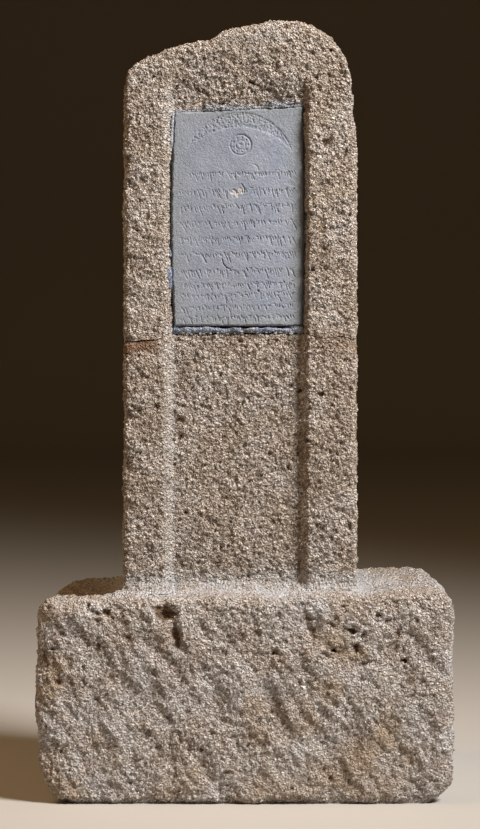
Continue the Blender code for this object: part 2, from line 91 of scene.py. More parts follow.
# %% Camera
PHOTO_HIGH = 829
FOCAL_PIXELS = 2325.6
HORIZON_ROW = 340.0
lens = bpy.data.cameras.new("photo_camera")
lens.sensor_fit = "VERTICAL"
lens.sensor_height = 36.0
lens.lens = FOCAL_PIXELS * lens.sensor_height / PHOTO_HIGH
lens.shift_y = (HORIZON_ROW - PHOTO_HIGH / 2) / PHOTO_HIGH
camera = bpy.data.objects.new("photo_camera", lens)
camera.location = (-0.0067, -3.12, 0.588)
camera.rotation_euler = (math.pi / 2, 0, 0)
bpy.context.collection.objects.link(camera)
bpy.context.scene.camera = camera
print(f"lens {lens.lens:.1f} mm, shift {lens.shift_y:.3f}")

# %% [markdown]
# ## Unevenness out of plain numbers
# Weathered stone is uneven at every size at once: long swells, lumps, grains and pinholes. A hash turns a
# place in space into a number that looks drawn by lot but is the same on every run. Soft noise blends the
# numbers at the corners of a grid of cubes. Scattered grains give each cube one grain and ask how far
# away the nearest is.

# %% Numbers drawn by lot
def lot(cells, seed):
    """A number from 0 to 1 for each whole-number cell: its x, y and z, each times a large prime, are added,
    and the sum's bits are stirred by shifting, crossing and multiplying twice."""
    x, y, z = (cells[..., axis].astype(np.int64) for axis in range(3))
    mixed = (x * 73856093 + y * 19349663 + z * 83492791 + seed * 2654435761) & 0xFFFFFFFF
    mixed = mixed.astype(np.uint32)
    for factor in (0x7FEB352D, 0x846CA68B):
        mixed = (mixed ^ (mixed >> np.uint32(15))) * np.uint32(factor)
    return (mixed ^ (mixed >> np.uint32(16))) / 4294967296.0


TURNED = np.array([[0.36, 0.48, -0.80], [-0.80, 0.60, 0.0], [0.48, 0.64, 0.60]])


def soft_noise(places, size, seed):
    """Smooth values from -1 to 1: a place blends the lots of its cube's eight corners, by the S-curve
    3t^2 - 2t^3 of its share along each edge. The grid is turned, so that it never lines up with the stone."""
    spots = places @ TURNED / size + 0.37 * seed
    cell = np.floor(spots)
    share = spots - cell
    share = share * share * (3 - 2 * share)
    total = 0
    for corner in itertools.product((0, 1), repeat=3):
        weight = np.prod(np.where(np.array(corner) == 1, share, 1 - share), axis=-1)
        total = total + weight * lot(cell + corner, seed)
    return 2 * total - 1


def rough_noise(places, size, seed, layers=3):
    """Soft noise in layers, each half as wide and half as strong as the last, back to about -1 to 1."""
    parts = [soft_noise(places, size / 2**layer, seed + layer) / 2**layer for layer in range(layers)]
    return sum(parts) / (2 - 2 ** (1 - layers)) * 1.3


def nearest_grain(places, size, seed):
    """The distance to the nearest grain, in cube widths, and that grain's lot. Each cube of a grid holds one
    grain at a place drawn by lot, and the 27 cubes round a place are searched."""
    spots = places @ TURNED / size
    cell = np.floor(spots)
    nearest = np.full(spots.shape[:-1], np.inf)
    number = np.zeros(spots.shape[:-1])
    for step in itertools.product((-1, 0, 1), repeat=3):
        cube = cell + step
        grain = cube + np.stack([lot(cube, seed + axis) for axis in range(3)], axis=-1)
        gap = np.linalg.norm(spots - grain, axis=-1)
        closer = gap < nearest
        nearest = np.where(closer, gap, nearest)
        number = np.where(closer, lot(cube, seed + 3), number)
    return nearest, number


def ramp(start, end, value):
    """0 before start, 1 after end, and the S-curve 3t^2 - 2t^3 of the share t between them."""
    share = np.clip((value - start) / (end - start), 0, 1)
    return share * share * (3 - 2 * share)


trial = np.stack(np.meshgrid(*[np.linspace(0, 0.1, 12)] * 3), axis=-1)
print("soft noise spread", round(float(soft_noise(trial, 0.01, 1).std()), 3))

# %% [markdown]
# ## One skin for every stone
# Each stone began as a squared block, so each skin is the skin of a box: rings of points go round it, row
# above row, and a lid closes the top. The front needs points about a millimetre and a half apart. The
# hidden back doesn't, so it has one point for every four on the front, and a row of triangles joins the
# two along the lid's far edge.

# %% The skin of a box
BACK_STEP = 4


def spread(marks, spacings):
    """Shares from 0 to 1: the stretch between two marks is cut evenly into the fewest parts that are no
    longer than its spacing."""
    found = [marks[0]]
    for start, end, spacing in zip(marks, marks[1:], spacings):
        parts = max(1, math.ceil((end - start) / spacing - 1e-6))
        found += [start + (end - start) * part / parts for part in range(1, parts + 1)]
    return (np.array(found) - marks[0]) / (marks[-1] - marks[0])


def front_shares(marks, spacing):
    """As spread, with cells added to the first stretch until their number can be divided by BACK_STEP."""
    counts = [max(1, math.ceil((end - start) / spacing - 1e-6)) for start, end in zip(marks, marks[1:])]
    counts[0] += -sum(counts) % BACK_STEP
    parts = [np.linspace(start, end, count + 1)[1:] for start, end, count in zip(marks, marks[1:], counts)]
    return np.concatenate([[marks[0]]] + parts)


def zip_edges(fine, coarse):
    """Triangles between an edge of many points and one with a point for every BACK_STEP cells of it."""
    cells = np.arange(len(fine) - 1)
    many = np.stack([fine[:-1], fine[1:], coarse[(cells + BACK_STEP // 2) // BACK_STEP]], axis=1)
    middles = fine[BACK_STEP // 2 :: BACK_STEP][: len(coarse) - 1]
    few = np.stack([middles, coarse[1:], coarse[:-1]], axis=1)
    return np.concatenate([many, few])


def plain_end(front, right, back, left):
    """A flat end: long triangles from the front edge to the back edge, and a fan over each side's points."""
    fans = [np.stack([np.full(len(right) - 2, right[0]), right[1:-1], right[2:]], axis=1)]
    fans.append(np.stack([np.full(len(left) - 2, left[0]), left[2:], left[1:-1]], axis=1))
    return np.concatenate([zip_edges(front, back)] + fans)


def grid_quads(number):
    """The four-cornered faces of a grid of point numbers."""
    corners = [number[:-1, :-1], number[:-1, 1:], number[1:, 1:], number[1:, :-1]]
    return np.stack(corners, axis=-1).reshape(-1, 4)


def loop_quads(loops, count):
    """The four-cornered faces between closed loops of count points each, one loop above the other."""
    here = np.arange(loops)[:, None] * count + np.arange(count)
    after = np.roll(here, -1, axis=1)
    return np.stack([here[:-1], after[:-1], after[1:], here[1:]], axis=-1).reshape(-1, 4)


def loop_ends(loops, count):
    """A many-cornered face over the first loop and one over the last, both looking out."""
    ring = np.arange(count)
    return [ring[::-1][None, :], ((loops - 1) * count + ring)[None, :]]


def box_skin(across, deep, high, lid="plain"):
    """The skin of a box as points (across, deep, high), each from 0 to 1, and its faces, which look out.
    A ring runs along the front, up the right side, back along the rear and down the left side."""
    wide, side, rear = len(across) - 1, len(deep) - 1, (len(across) - 1) // BACK_STEP
    ring = [np.stack([across[:-1], np.zeros(wide)], axis=1)]
    ring.append(np.stack([np.ones(side), deep[:-1]], axis=1))
    ring.append(np.stack([across[::BACK_STEP][:0:-1], np.ones(rear)], axis=1))
    ring.append(np.stack([np.zeros(side), deep[:0:-1]], axis=1))
    ring = np.concatenate(ring)
    count = len(ring)
    points = [np.column_stack([ring, np.full(count, level)]) for level in high]
    quads = [loop_quads(len(high), count)]

    front = np.arange(wide + 1)
    right = wide + np.arange(side + 1)
    back = wide + side + np.arange(rear, -1, -1)
    left = (wide + side + rear + np.arange(side, -1, -1)) % count
    triangles = [plain_end(front, right, back, left)[:, ::-1]]
    top = (len(high) - 1) * count
    if lid == "plain":
        triangles.append(plain_end(front + top, right + top, back + top, left + top))
    else:
        grid = np.zeros((side, wide + 1), dtype=int)
        grid[0] = front + top
        grid[:, 0] = left[:-1] + top
        grid[:, -1] = right[:-1] + top
        grid[1:, 1:-1] = len(high) * count + np.arange((side - 1) * (wide - 1)).reshape(side - 1, wide - 1)
        inner = np.stack(np.meshgrid(across[1:-1], deep[1:-1], [1.0]), axis=-1).reshape(-1, 3)
        points.append(inner)
        quads.append(grid_quads(grid))
        triangles.append(zip_edges(grid[-1], back + top))
        print("lid grid", grid.shape)
    return np.concatenate(points), [np.concatenate(quads), np.concatenate(triangles)]


# %% [markdown]
# A face knows which way it looks from the order of its corners. Adding up the faces round a point gives
# the way out there, and wear moves the point along it. Beside its points a piece keeps masks, one number
# per point, such as how deep in a pit the point lies. The finishes read them later.

# %% Ways out, and turning arrays into pieces
def way_out(points, faces):
    """A long-one arrow out of the skin at each point: the crossed diagonals, or crossed edges, of the faces
    that meet there are added and the sum is made one long."""
    out = np.zeros_like(points)
    for part in faces:
        corners = points[part]
        pairs = ((0, 2), (1, 3)) if part.shape[1] == 4 else ((0, 1), (0, 2))
        cross = np.cross(*[corners[:, end] - corners[:, start] for start, end in pairs])
        for corner in range(part.shape[1]):
            for axis in range(3):
                out[:, axis] += np.bincount(part[:, corner], cross[:, axis], len(points))
    return out / np.maximum(np.linalg.norm(out, axis=1, keepdims=True), 1e-12)


def make_piece(name, points, faces, masks, sharp=55):
    """An object from an array of points, arrays of faces and masks, with its place in its mesh."""
    mesh = bpy.data.meshes.new(name)
    mesh.vertices.add(len(points))
    mesh.vertices.foreach_set("co", np.ascontiguousarray(points, dtype=np.float32).ravel())
    corners = np.concatenate([part.ravel() for part in faces]).astype(np.int32)
    sides = np.concatenate([np.full(len(part), part.shape[1]) for part in faces])
    mesh.loops.add(len(corners))
    mesh.loops.foreach_set("vertex_index", corners)
    mesh.polygons.add(len(sides))
    mesh.polygons.foreach_set("loop_start", (np.cumsum(sides) - sides).astype(np.int32))
    mesh.update(calc_edges=True)
    mesh.validate()
    for mask, values in masks.items():
        kept = mesh.attributes.new(mask, "FLOAT", "POINT")
        kept.data.foreach_set("value", np.ascontiguousarray(values, dtype=np.float32))
    mesh.polygons.foreach_set("use_smooth", np.ones(len(mesh.polygons), dtype=bool))
    mesh.set_sharp_from_angle(angle=math.radians(sharp))
    piece = bpy.data.objects.new(name, mesh)
    bpy.context.collection.objects.link(piece)
    triangles = int((sides - 2).sum())
    low, high = points[:, 2].min(), points[:, 2].max()
    print(f"{name}: {len(points)} points, {triangles} triangles, z {low:.3f} to {high:.3f}")
    return piece


# %% [markdown]
# ## Rounding and wearing a stone
# Rounding works on the box before anything else: a point near an edge is pulled in so that it lies on an
# ellipse there. Wear comes after the shape. Lumps and grains stand out, pits go in, and dents are places
# where a piece has been knocked away.

# %% Rounding and wear
def rounded(places, low, high, radii):
    """Points of a box moved onto the same box with rounded edges: beyond the inner box, low plus radii to
    high less radii, the step out is stretched to lie on an ellipsoid and keeps its largest share."""
    low, high, radii = (np.asarray(limit, dtype=float) for limit in (low, high, radii))
    inner = np.clip(places, low + radii, high - radii)
    step = (places - inner) / radii
    length = np.maximum(np.linalg.norm(step, axis=-1, keepdims=True), 1e-12)
    step = step * np.abs(step).max(axis=-1, keepdims=True) / length
    return inner + step * radii


def dented(points, dents):
    """How far dents push each point in: a dent's depth times exp(-d^2), d being the distance in its radii,
    which noise makes uneven."""
    push = np.zeros(len(points))
    ragged = 1 + 0.35 * rough_noise(points, 0.009, 77, 2)
    for place, radius, depth in dents:
        gap = (points - np.array(place)) / radius * ragged[:, None]
        push += depth * np.exp(-(gap**2).sum(axis=1))
    return push


def wear_height(points, seed, lump=0.0011, grain=0.0031, rough=0.0015, pit=0.0032):
    """Stone's own unevenness, in metres: lumps 22 mm wide, clods 8 mm wide, grains 4 mm wide that stand up
    round their middles, and scattered pits. Gives the height and a mask that is 1 in the pits and part of
    that in the gaps between grains."""
    stir = np.stack([soft_noise(points, 0.0055, seed + k) for k in range(3)], axis=1)
    lumps = rough_noise(points, 0.022, seed + 10, 2)
    clods = rough_noise(points, 0.0078, seed + 14, 2)
    gap, number = nearest_grain(points + 0.0014 * stir, 0.0043, seed + 20)
    grains = (0.60 - gap) * (0.5 + number)
    far, chosen = nearest_grain(points + 0.0030 * stir, 0.019, seed + 30)
    width = 0.08 + 0.26 * chosen**3
    pits = np.clip(1.3 - 1.3 * far / width, 0, 1) * np.minimum(1, width / 0.2)
    height = lump * lumps + rough * clods + grain * grains - pit * pits
    depth = np.clip(0.9 * pits + 0.45 * ramp(0.1, -1.3, clods + 1.6 * grains), 0, 1)
    return height, depth


def worn(points, out, seed, keep, dents=(), **sizes):
    """The points moved along the way out by the wear's height times keep, less any dents, and its mask."""
    height, depth = wear_height(points, seed, **sizes)
    return points + out * ((height * keep) - dented(points, dents))[:, None], depth


def level_ends(out, skin, count):
    """The ways out with those of the lowest and highest ring taken from the ring beside them, so that wear
    doesn't round a broken edge."""
    rings = int(skin[:, 2].searchsorted(1.0) / count)
    out = out.copy()
    out[:count] = out[count : 2 * count]
    out[rings * count : (rings + 1) * count] = out[(rings - 1) * count : rings * count]
    return out


corner = rounded(np.array([[1.0, 1.0, 1.0]]), (0, 0, 0), (1, 1, 1), (0.2, 0.2, 0.2))
print("a cube's corner goes to", corner.round(3).tolist())

# %% [markdown]
# ## The rough block
# The block is a lump of coarse limestone, squared only roughly, with hollows where shells and soft seams
# have weathered out. Its top carries the mortar, so it is kept flat there. The rest of the top dips to
# the left, and its far left corner is gone. Hollows are ellipses pressed into the front. Before a point
# asks how deep it lies, noise shifts it by a few millimetres, and that makes every rim ragged. Long
# shallow furrows run down to the right, as the tooling does.

# %% The block's hollows
HOLLOWS = (
    # mm from the block's middle, mm above its foot, half width, half height, depth, turn in degrees
    (-101, 243, 17, 14, 12, -35), (-88, 213, 8, 24, 8, 10), (-122, 262, 6, 5, 4, 0),
    (-201, 254, 4, 8, 6, 0), (-189, 243, 11, 4, 6, -18), (-177, 243, 7, 7, 9, -20),
    (-166, 236, 9, 3, 5, -15), (-187, 196, 11, 16, 4, -30), (-257, 184, 13, 20, 6, 0),
    (-238, 218, 7, 9, 4, 0), (-223, 176, 5, 8, 5, 0), (-206, 172, 4, 5, 5, 0), (-204, 158, 4, 8, 3, 0),
    (-204, 112, 6, 10, 3, 0), (-244, 92, 5, 5, 3, 0), (-134, 152, 4, 5, 4, 30), (-130, 130, 5, 4, 4, 0),
    (-134, 117, 5, 6, 4, 0), (-125, 89, 6, 8, 5, -20), (-114, 168, 4, 9, 4, -10), (-80, 128, 7, 5, 6, 40),
    (-41, 215, 5, 4, 4, 0), (-27, 190, 4, 7, 4, 0), (-52, 148, 4, 4, 4, 0), (-70, 171, 4, 8, 4, 0),
    (-7, 115, 5, 6, 4, 0), (-31, 130, 4, 10, 3, 0), (-96, 38, 9, 11, 3, 0), (-118, 50, 5, 10, 3, -10),
    (-142, 54, 5, 11, 3, -25), (-177, 70, 5, 5, 3, 0), (-79, 57, 5, 9, 3, 0), (-41, 91, 5, 5, 3, 0),
    (11, 263, 10, 7, 7, 0), (-27, 265, 7, 4, 4, 0), (60, 261, 8, 8, 4, 0), (48, 244, 4, 4, 4, 0),
    (14, 216, 8, 6, 6, -40), (39, 192, 6, 3, 6, -15), (82, 234, 11, 5, 6, -10), (86, 216, 7, 16, 7, 8),
    (108, 226, 9, 5, 6, -40), (135, 221, 8, 4, 9, 20), (147, 214, 4, 7, 7, -40), (115, 193, 5, 4, 9, 0),
    (122, 193, 6, 6, 6, 0), (101, 190, 9, 4, 6, -15), (140, 196, 8, 8, 9, 0), (151, 177, 5, 8, 6, -60),
    (165, 240, 3, 3, 6, 0), (169, 231, 3, 3, 5, 0), (186, 252, 8, 9, 5, 0), (181, 229, 5, 8, 6, -40),
    (191, 217, 6, 9, 6, -30), (201, 182, 5, 6, 9, 0), (200, 198, 3, 10, 5, 0), (202, 234, 5, 8, 4, 0),
    (64, 162, 8, 6, 4, -45), (77, 150, 10, 5, 4, -40), (97, 137, 13, 5, 4, -40), (113, 124, 9, 4, 4, -35),
    (132, 109, 8, 5, 4, -20), (68, 130, 4, 10, 3, 0), (29, 107, 8, 5, 4, 20), (38, 105, 4, 4, 4, 0),
    (16, 104, 4, 5, 4, 0), (22, 80, 5, 13, 4, -20), (165, 105, 5, 5, 5, 0), (177, 99, 6, 3, 4, -20),
    (65, 88, 8, 15, 3, -50), (84, 76, 10, 6, 3, 0), (78, 51, 6, 10, 3, 0), (121, 28, 5, 10, 3, 0),
    (40, 42, 4, 8, 3, 0), (236, 70, 4, 4, 3, 0), (221, 70, 4, 4, 3, 0),
)


def hollows_depth(points):
    """How deep the hollows go at each point, the deepest winning: a hollow's depth inside its turned
    ellipse, down to nothing across the rim. Each point is first shifted by noise, some 5 mm at most."""
    shift_x = 0.0042 * rough_noise(points, 0.0085, 71, 3)
    shift_z = 0.0042 * rough_noise(points, 0.0085, 75, 3)
    depths = np.zeros(len(points))
    for x, z, half_wide, half_high, depth, turn in HOLLOWS:
        aside = points[:, 0] + shift_x - 0.001 * x
        above = points[:, 2] + shift_z - 0.001 * z
        angle = math.radians(turn)
        along = (aside * math.cos(angle) + above * math.sin(angle)) / (0.00105 * half_wide)
        over = (-aside * math.sin(angle) + above * math.cos(angle)) / (0.00105 * half_high)
        depths = np.maximum(depths, 0.001 * depth * (1 - ramp(0.15, 1.3, np.hypot(along, over))))
    return depths


print("hollows:", len(HOLLOWS))

# %% The block's shape
FOOT_CURVES = (
    # side of the block, axis, how far the foot is drawn in, and over what height
    (-1, 0, 0.038, 0.075),
    (1, 0, 0.028, 0.045),
    (-1, 1, 0.011, 0.012),
    (1, 1, 0.016, 0.020),
)


def block_shape(skin):
    """The rounded box, its slanting top and its lost corner. Towards the foot each side is drawn in by a
    quarter ellipse, reach times 1 - sqrt(1 - s^2), s being the share of the curve's height still to go."""
    half = np.array([BLOCK_WIDE / 2, BLOCK_DEEP / 2])
    low, high = (-half[0], -half[1], 0.0), (half[0], half[1], BLOCK_HIGH)
    flat = skin * [BLOCK_WIDE, BLOCK_DEEP, BLOCK_HIGH] + np.array(low)
    x, y, z = flat.T
    points = rounded(flat, (low[0], low[1], -1.0), high, (0.026, 0.016, 0.026))
    for side, axis, reach, tall in FOOT_CURVES:
        rest = np.clip(1 - z / tall, 0, 1)
        outer = np.clip(side * points[:, axis] / half[axis], 0, 1)
        points[:, axis] -= side * reach * (1 - np.sqrt(1 - rest**2)) * outer
    left, near = -x / half[0], y / half[1]
    beyond = np.maximum.reduce([SHAFT_LEFT - x, x - SHAFT_RIGHT, SHAFT_FRONT - y, y - SHAFT_BACK])
    free = np.where(z > BLOCK_HIGH - 0.003, ramp(0.006, 0.020, beyond), 1.0)
    share = z / BLOCK_HIGH
    lost = ramp(1.2, 2.1, near + left)
    lost = lost + 0.3 * ramp(-0.8, 0.0, near) * ramp(0.6, 1.0, left) * (1 - lost)
    points[:, 0] += 0.026 * lost * share**3
    points[:, 1] -= 0.010 * lost * share**3
    points[:, 2] += (-0.006 * left - 0.005 * lost) * free * share**4
    return points, free


def block_wear(points, faces, free):
    """Swells of a hand's width that only go in, ridges and furrows that run down to the right, and the
    hollows. Gives the moved points, the hollows' depth and the way out."""
    out = way_out(points, faces)
    swell = np.minimum(0.1, rough_noise(points, 0.11, 5, 3)) - 0.1
    clods = rough_noise(points, 0.040, 6, 3) - 0.4
    slanted = points @ np.array([[0.56, 0.0, 0.83], [0.0, 1.0, 0.0], [-0.83, 0.0, 0.56]])
    slanted[:, 0] *= 0.22
    furrow = np.minimum(0.5, rough_noise(slanted, 0.014, 8, 2)) - 0.5
    front = ramp(-0.45, -0.85, out[:, 1])
    cut = hollows_depth(points) * front
    calm = 1 - 0.7 * ramp(0.0, 0.004, cut)
    push = 0.0058 * swell + 0.0032 * clods * calm + 0.0034 * furrow * calm
    moved = points + out * (push * free - cut)[:, None]
    moved[:, 2] = np.maximum(moved[:, 2], 0.0)
    return moved, cut, out


# %% The block
block_across = np.linspace(0, 1, 312 + 1)
block_deep = spread([0, 0.020, 0.060, 0.235, 0.340, 0.360], [0.0026, 0.0045, 0.0085, 0.0085, 0.0040])
block_high = spread([0, 0.003, 0.022, 0.240, 0.265], [0.0006, 0.0014, 0.00175, 0.0014])
skin, faces = box_skin(block_across, block_deep, block_high, lid="grid")
points, free = block_shape(skin)
points, cut, out = block_wear(points, faces, free)
low_edge = ramp(0.0, 0.006, points[:, 2])
sideways = np.abs(out[:, 0]) * ramp(-0.165, -0.130, points[:, 1])
keep = free * low_edge * (1 - 0.6 * sideways)
points, pit = worn(points, way_out(points, faces), 3, keep, lump=0.0012, grain=0.0033, rough=0.0015)
half = np.array([BLOCK_WIDE / 2, BLOCK_DEEP / 2, 10])
points = np.clip(points, -half, half)
points[:, 2] = np.where(skin[:, 2] == 0, 0.0, np.maximum(points[:, 2], 0.0))
x, y, z = points.T
beyond = np.maximum.reduce([SHAFT_LEFT - x, x - SHAFT_RIGHT, SHAFT_FRONT - y])
cloud = 0.5 + 0.5 * rough_noise(points, 0.020, 61, 3)
seat_dust = (1 - ramp(0.004, 0.045, beyond)) * ramp(0.225, 0.258, z)
film = ramp(0.45, 0.85, 0.5 + 0.5 * rough_noise(points, 0.055, 63, 4)) * (y < 0)
# On the block the pale mask is mortar dust only.
dust_and_highlight = np.clip((0.8 * seat_dust + 0.60 * film) * (0.3 + cloud), 0, 1) * (1 - ramp(0.0, 0.004, cut))
stain = ramp(0.50, 0.85, 0.5 + 0.5 * rough_noise(points, 0.042, 65, 4)) * (1 - dust_and_highlight)
# The pits and hollows are painted brown in the finish, partly as dirt and partly as painted shade.
masks = {"pit": np.maximum(pit, cut / 0.0085), "dust_and_highlight": dust_and_highlight, "ochre": stain}
block = make_piece("rough_block", points, faces, masks)

# %% [markdown]
# ## The shaft
# The shaft is one stone in two fragments. Both follow the same plan: an oblong with soft arrises whose
# front is sunk between two borders, by a gentle slope at each side. The field dies out above the plaque.
# The top is worn to a lopsided hump. The two broken faces match, since one function says where the
# break runs and how thick the mortar in it is.

# %% Curves of the shaft
CROWN = np.array([
    (0.000, 0.080), (0.013, 0.066), (0.047, 0.0565), (0.100, 0.0485), (0.167, 0.0395), (0.236, 0.0325),
    (0.305, 0.0287), (0.360, 0.0275), (0.378, 0.0235), (0.400, 0.0170), (0.430, 0.0125), (0.476, 0.0090),
    (0.545, 0.0055), (0.610, 0.0015), (0.682, 0.0000), (0.745, 0.0012), (0.785, 0.0055), (0.837, 0.0120),
    (0.888, 0.0212), (0.923, 0.0325), (0.957, 0.0480), (0.982, 0.0660), (1.000, 0.0890),
])
SOCKET_LEFT, SOCKET_RIGHT = PLAQUE_LEFT - 0.008, PLAQUE_RIGHT + 0.006


def socket_top(x):
    """The socket's top edge, which rises to the right as the plaque's does."""
    share = np.clip((x - PLAQUE_LEFT) / (PLAQUE_RIGHT - PLAQUE_LEFT), 0, 1)
    ragged = 0.0009 * rough_noise(np.stack([x, 0 * x, 0 * x], axis=1), 0.010, 47, 2)
    return PLAQUE_TOP + 0.0035 - PLAQUE_SKEW * (1 - share) + np.abs(ragged)


def field_sink(x, z):
    """How far the front is cut back: the sink times an S-curve over each side slope and a straight fade
    above the plaque."""
    left = ramp(FIELD_LEFT - STEP, FIELD_LEFT, x)
    start = FIELD_RIGHT + 0.0065 * ramp(UPPER_FOOT, UPPER_FOOT + 0.02, z)
    right = 1 - ramp(0, 1, (x - start) / (FIELD_RIGHT + STEP - start))
    fade = np.clip((z - PLAQUE_TOP) / (0.072 - 0.036 * ramp(0.0, 0.055, x)), 0, 1)
    return FIELD_SINK * left * right * (1 - fade)


def crown_height(x, y):
    """The worn top: the curve's drop at a share of the width, its scarp slanting to the right as it goes
    back, and a fall towards the back by the square of its share of the depth."""
    share = (x - SHAFT_LEFT) / (SHAFT_RIGHT - SHAFT_LEFT)
    back = (y - SHAFT_FRONT) / (SHAFT_BACK - SHAFT_FRONT)
    spots = np.stack([x, 0.6 * y, 0 * x], axis=1)
    slanted = share - (0.14 + 0.05 * soft_noise(spots, 0.05, 35)) * back
    lost = np.maximum(np.interp(share, *CROWN.T), np.interp(slanted, *CROWN.T)) + 0.0115 * back**2
    return SHAFT_TOP - 0.0036 - lost + 0.0016 * rough_noise(spots, 0.018, 31, 2)


def break_height(x, y):
    """The lower fragment's broken edge: level across the middle, dropping to both sides, with a
    wander, and behind the front a slow roll of up to 4 mm."""
    marks = [SHAFT_LEFT, -0.1363, -0.1254, -0.1082, SOCKET_LEFT, SOCKET_RIGHT, 0.105, SHAFT_RIGHT]
    drop = np.interp(x, marks, [-0.017, -0.015, -0.011, -0.005, 0.0, 0.0, -0.004, -0.006])
    places = np.stack([x, y - SHAFT_FRONT, 0 * x], axis=1)
    wander = rough_noise(places, 0.012, 41, 3)
    roll = 0.0040 * rough_noise(places, 0.045, 45, 2) * ramp(0.0, 0.03, y - SHAFT_FRONT)
    return BREAK_LEVEL + drop + 0.0011 * wander + roll - 0.0008


def mend_thickness(x):
    """The mortar's thickness across the break."""
    marks = [SHAFT_LEFT, -0.134, -0.113, SOCKET_LEFT, SOCKET_RIGHT, 0.100, 0.125, SHAFT_RIGHT]
    return np.interp(x, marks, [0.0142, 0.0136, 0.0072, 0.0080, 0.0080, 0.0050, 0.0090, 0.0072])


# %% The shaft's plan
def shaft_plan(x, y, z):
    """Rounded plan of the shaft at a height: arrises of 8 mm, slow swells of about a millimetre on the
    sides and the front, a worn right shoulder, and the front cut back by field_sink."""
    corners = (SHAFT_LEFT, SHAFT_FRONT), (SHAFT_RIGHT, SHAFT_BACK)
    plan = rounded(np.stack([x, y], axis=1), *corners, (ARRIS, ARRIS))
    swell = 0.0013 * rough_noise(np.column_stack([plan, z]), 0.09, 15, 2)
    shoulder = 0.0035 * ramp(0.835, 0.885, z) * ramp(0.11, SHAFT_RIGHT, x)
    plan[:, 0] += np.where(x < SHAFT_LEFT + 1e-6, -swell, 0) + np.where(x > SHAFT_RIGHT - 1e-6, swell, 0)
    plan[:, 0] -= shoulder
    in_front = y < SHAFT_FRONT + 1e-6
    plan[:, 1] += np.where(in_front, field_sink(x, z) - swell, 0)
    return plan


def shaft_places(skin):
    """A skin's shares across and deep laid out over the shaft, in metres."""
    x = SHAFT_LEFT + (SHAFT_RIGHT - SHAFT_LEFT) * skin[:, 0]
    return x, SHAFT_FRONT + (SHAFT_BACK - SHAFT_FRONT) * skin[:, 1]


SHAFT_DEEP = spread([0, 0.009, 0.030, 0.150, 0.166, 0.175], [0.0018, 0.0042, 0.0062, 0.0046, 0.0030])


def side_share(y):
    """How much of the wear the sides keep: half behind the front, where points stand further apart."""
    return 1 - 0.5 * ramp(SHAFT_FRONT + 0.012, SHAFT_FRONT + 0.035, y)


LEFT_ARRIS_DENTS = (
    ((SHAFT_LEFT, SHAFT_FRONT, 0.862), 0.011, 0.0035),
    ((SHAFT_LEFT, SHAFT_FRONT, 0.812), 0.008, 0.0040),
    ((SHAFT_LEFT + 0.006, SHAFT_FRONT, 0.786), 0.010, 0.0030),
    ((SHAFT_LEFT, SHAFT_FRONT, 0.690), 0.013, 0.0035),
    ((SHAFT_LEFT, SHAFT_FRONT, 0.582), 0.014, 0.0040),
    ((SHAFT_LEFT + 0.004, SHAFT_FRONT, 0.488), 0.011, 0.0055),
    ((SHAFT_LEFT + 0.004, SHAFT_FRONT, 0.426), 0.011, 0.0060),
    ((SHAFT_LEFT, SHAFT_FRONT, 0.372), 0.009, 0.0035),
    ((SHAFT_RIGHT, SHAFT_FRONT, 0.886), 0.020, 0.0030),
    ((SHAFT_RIGHT, SHAFT_BACK, 0.700), 0.020, 0.0050),
    ((SHAFT_LEFT, SHAFT_BACK, 0.800), 0.018, 0.0050),
    ((0.032, SHAFT_FRONT, 0.943), 0.009, 0.0026),
    ((0.037, SHAFT_FRONT, 0.937), 0.006, 0.0022),
    ((-0.006, SHAFT_FRONT, 0.966), 0.007, 0.0025),
)
LEFT_SMEARS = ((-0.030, 0.024), (0.044, 0.024))


def stone_masks(points, pit):
    """The masks of a shaft stone: pits, ochre near the break at the two sides, one pale mask that is a
    painted highlight on the left slope of the field and mortar dust over the foot and on the crown, and grey
    mortar smeared above the plaque."""
    x, y, z = points.T
    middle = break_height(x, y) + 0.5 * mend_thickness(x)
    cloud = 0.5 + 0.5 * rough_noise(points, 0.016, 51, 3)
    near = np.exp(-np.clip(z - middle, 0, None) / 0.006) * np.exp(-np.clip(middle - z, 0, None) / 0.011)
    where = 0.22 + 0.78 * ramp(-0.098, -0.125, x) + 0.55 * ramp(0.082, 0.100, x)
    ochre = np.clip(near * where * (0.35 + 1.1 * cloud), 0, 1)
    # Painted highlight: the left slope of the field faces the key lamp, and is painted pale here.
    lit_slope_highlight = np.exp(-(((x - FIELD_LEFT + 0.005) / 0.0065) ** 2))
    lit_slope_highlight = lit_slope_highlight * (1 - ramp(PLAQUE_TOP + 0.01, PLAQUE_TOP + 0.05, z))
    lit_slope_highlight = lit_slope_highlight * np.where((z > PLAQUE_FOOT) & (z < PLAQUE_TOP - 0.03), 0.35, 1.0)
    foot = 1 - ramp(SHAFT_FOOT + 0.006, SHAFT_FOOT + 0.026, z)
    crown = np.exp(-(((x - 0.030) / 0.020) ** 2 + ((z - 0.980) / 0.012) ** 2))
    dust_and_highlight = np.clip((0.45 * lit_slope_highlight + 0.75 * foot + 0.5 * crown) * (0.35 + 0.9 * cloud), 0, 1) * (y < 0.02)
    edge = z - socket_top(x) - 0.004 * rough_noise(points, 0.012, 57, 3)
    smear = sum(np.exp(-(((x - place) / width) ** 4)) for place, width in LEFT_SMEARS)
    smear = np.clip(smear * (1 - ramp(0.001, 0.0055, edge)) * (edge > -0.004) * (y < -0.09), 0, 1)
    return {"pit": pit, "ochre": ochre, "dust_and_highlight": dust_and_highlight, "smear": smear}

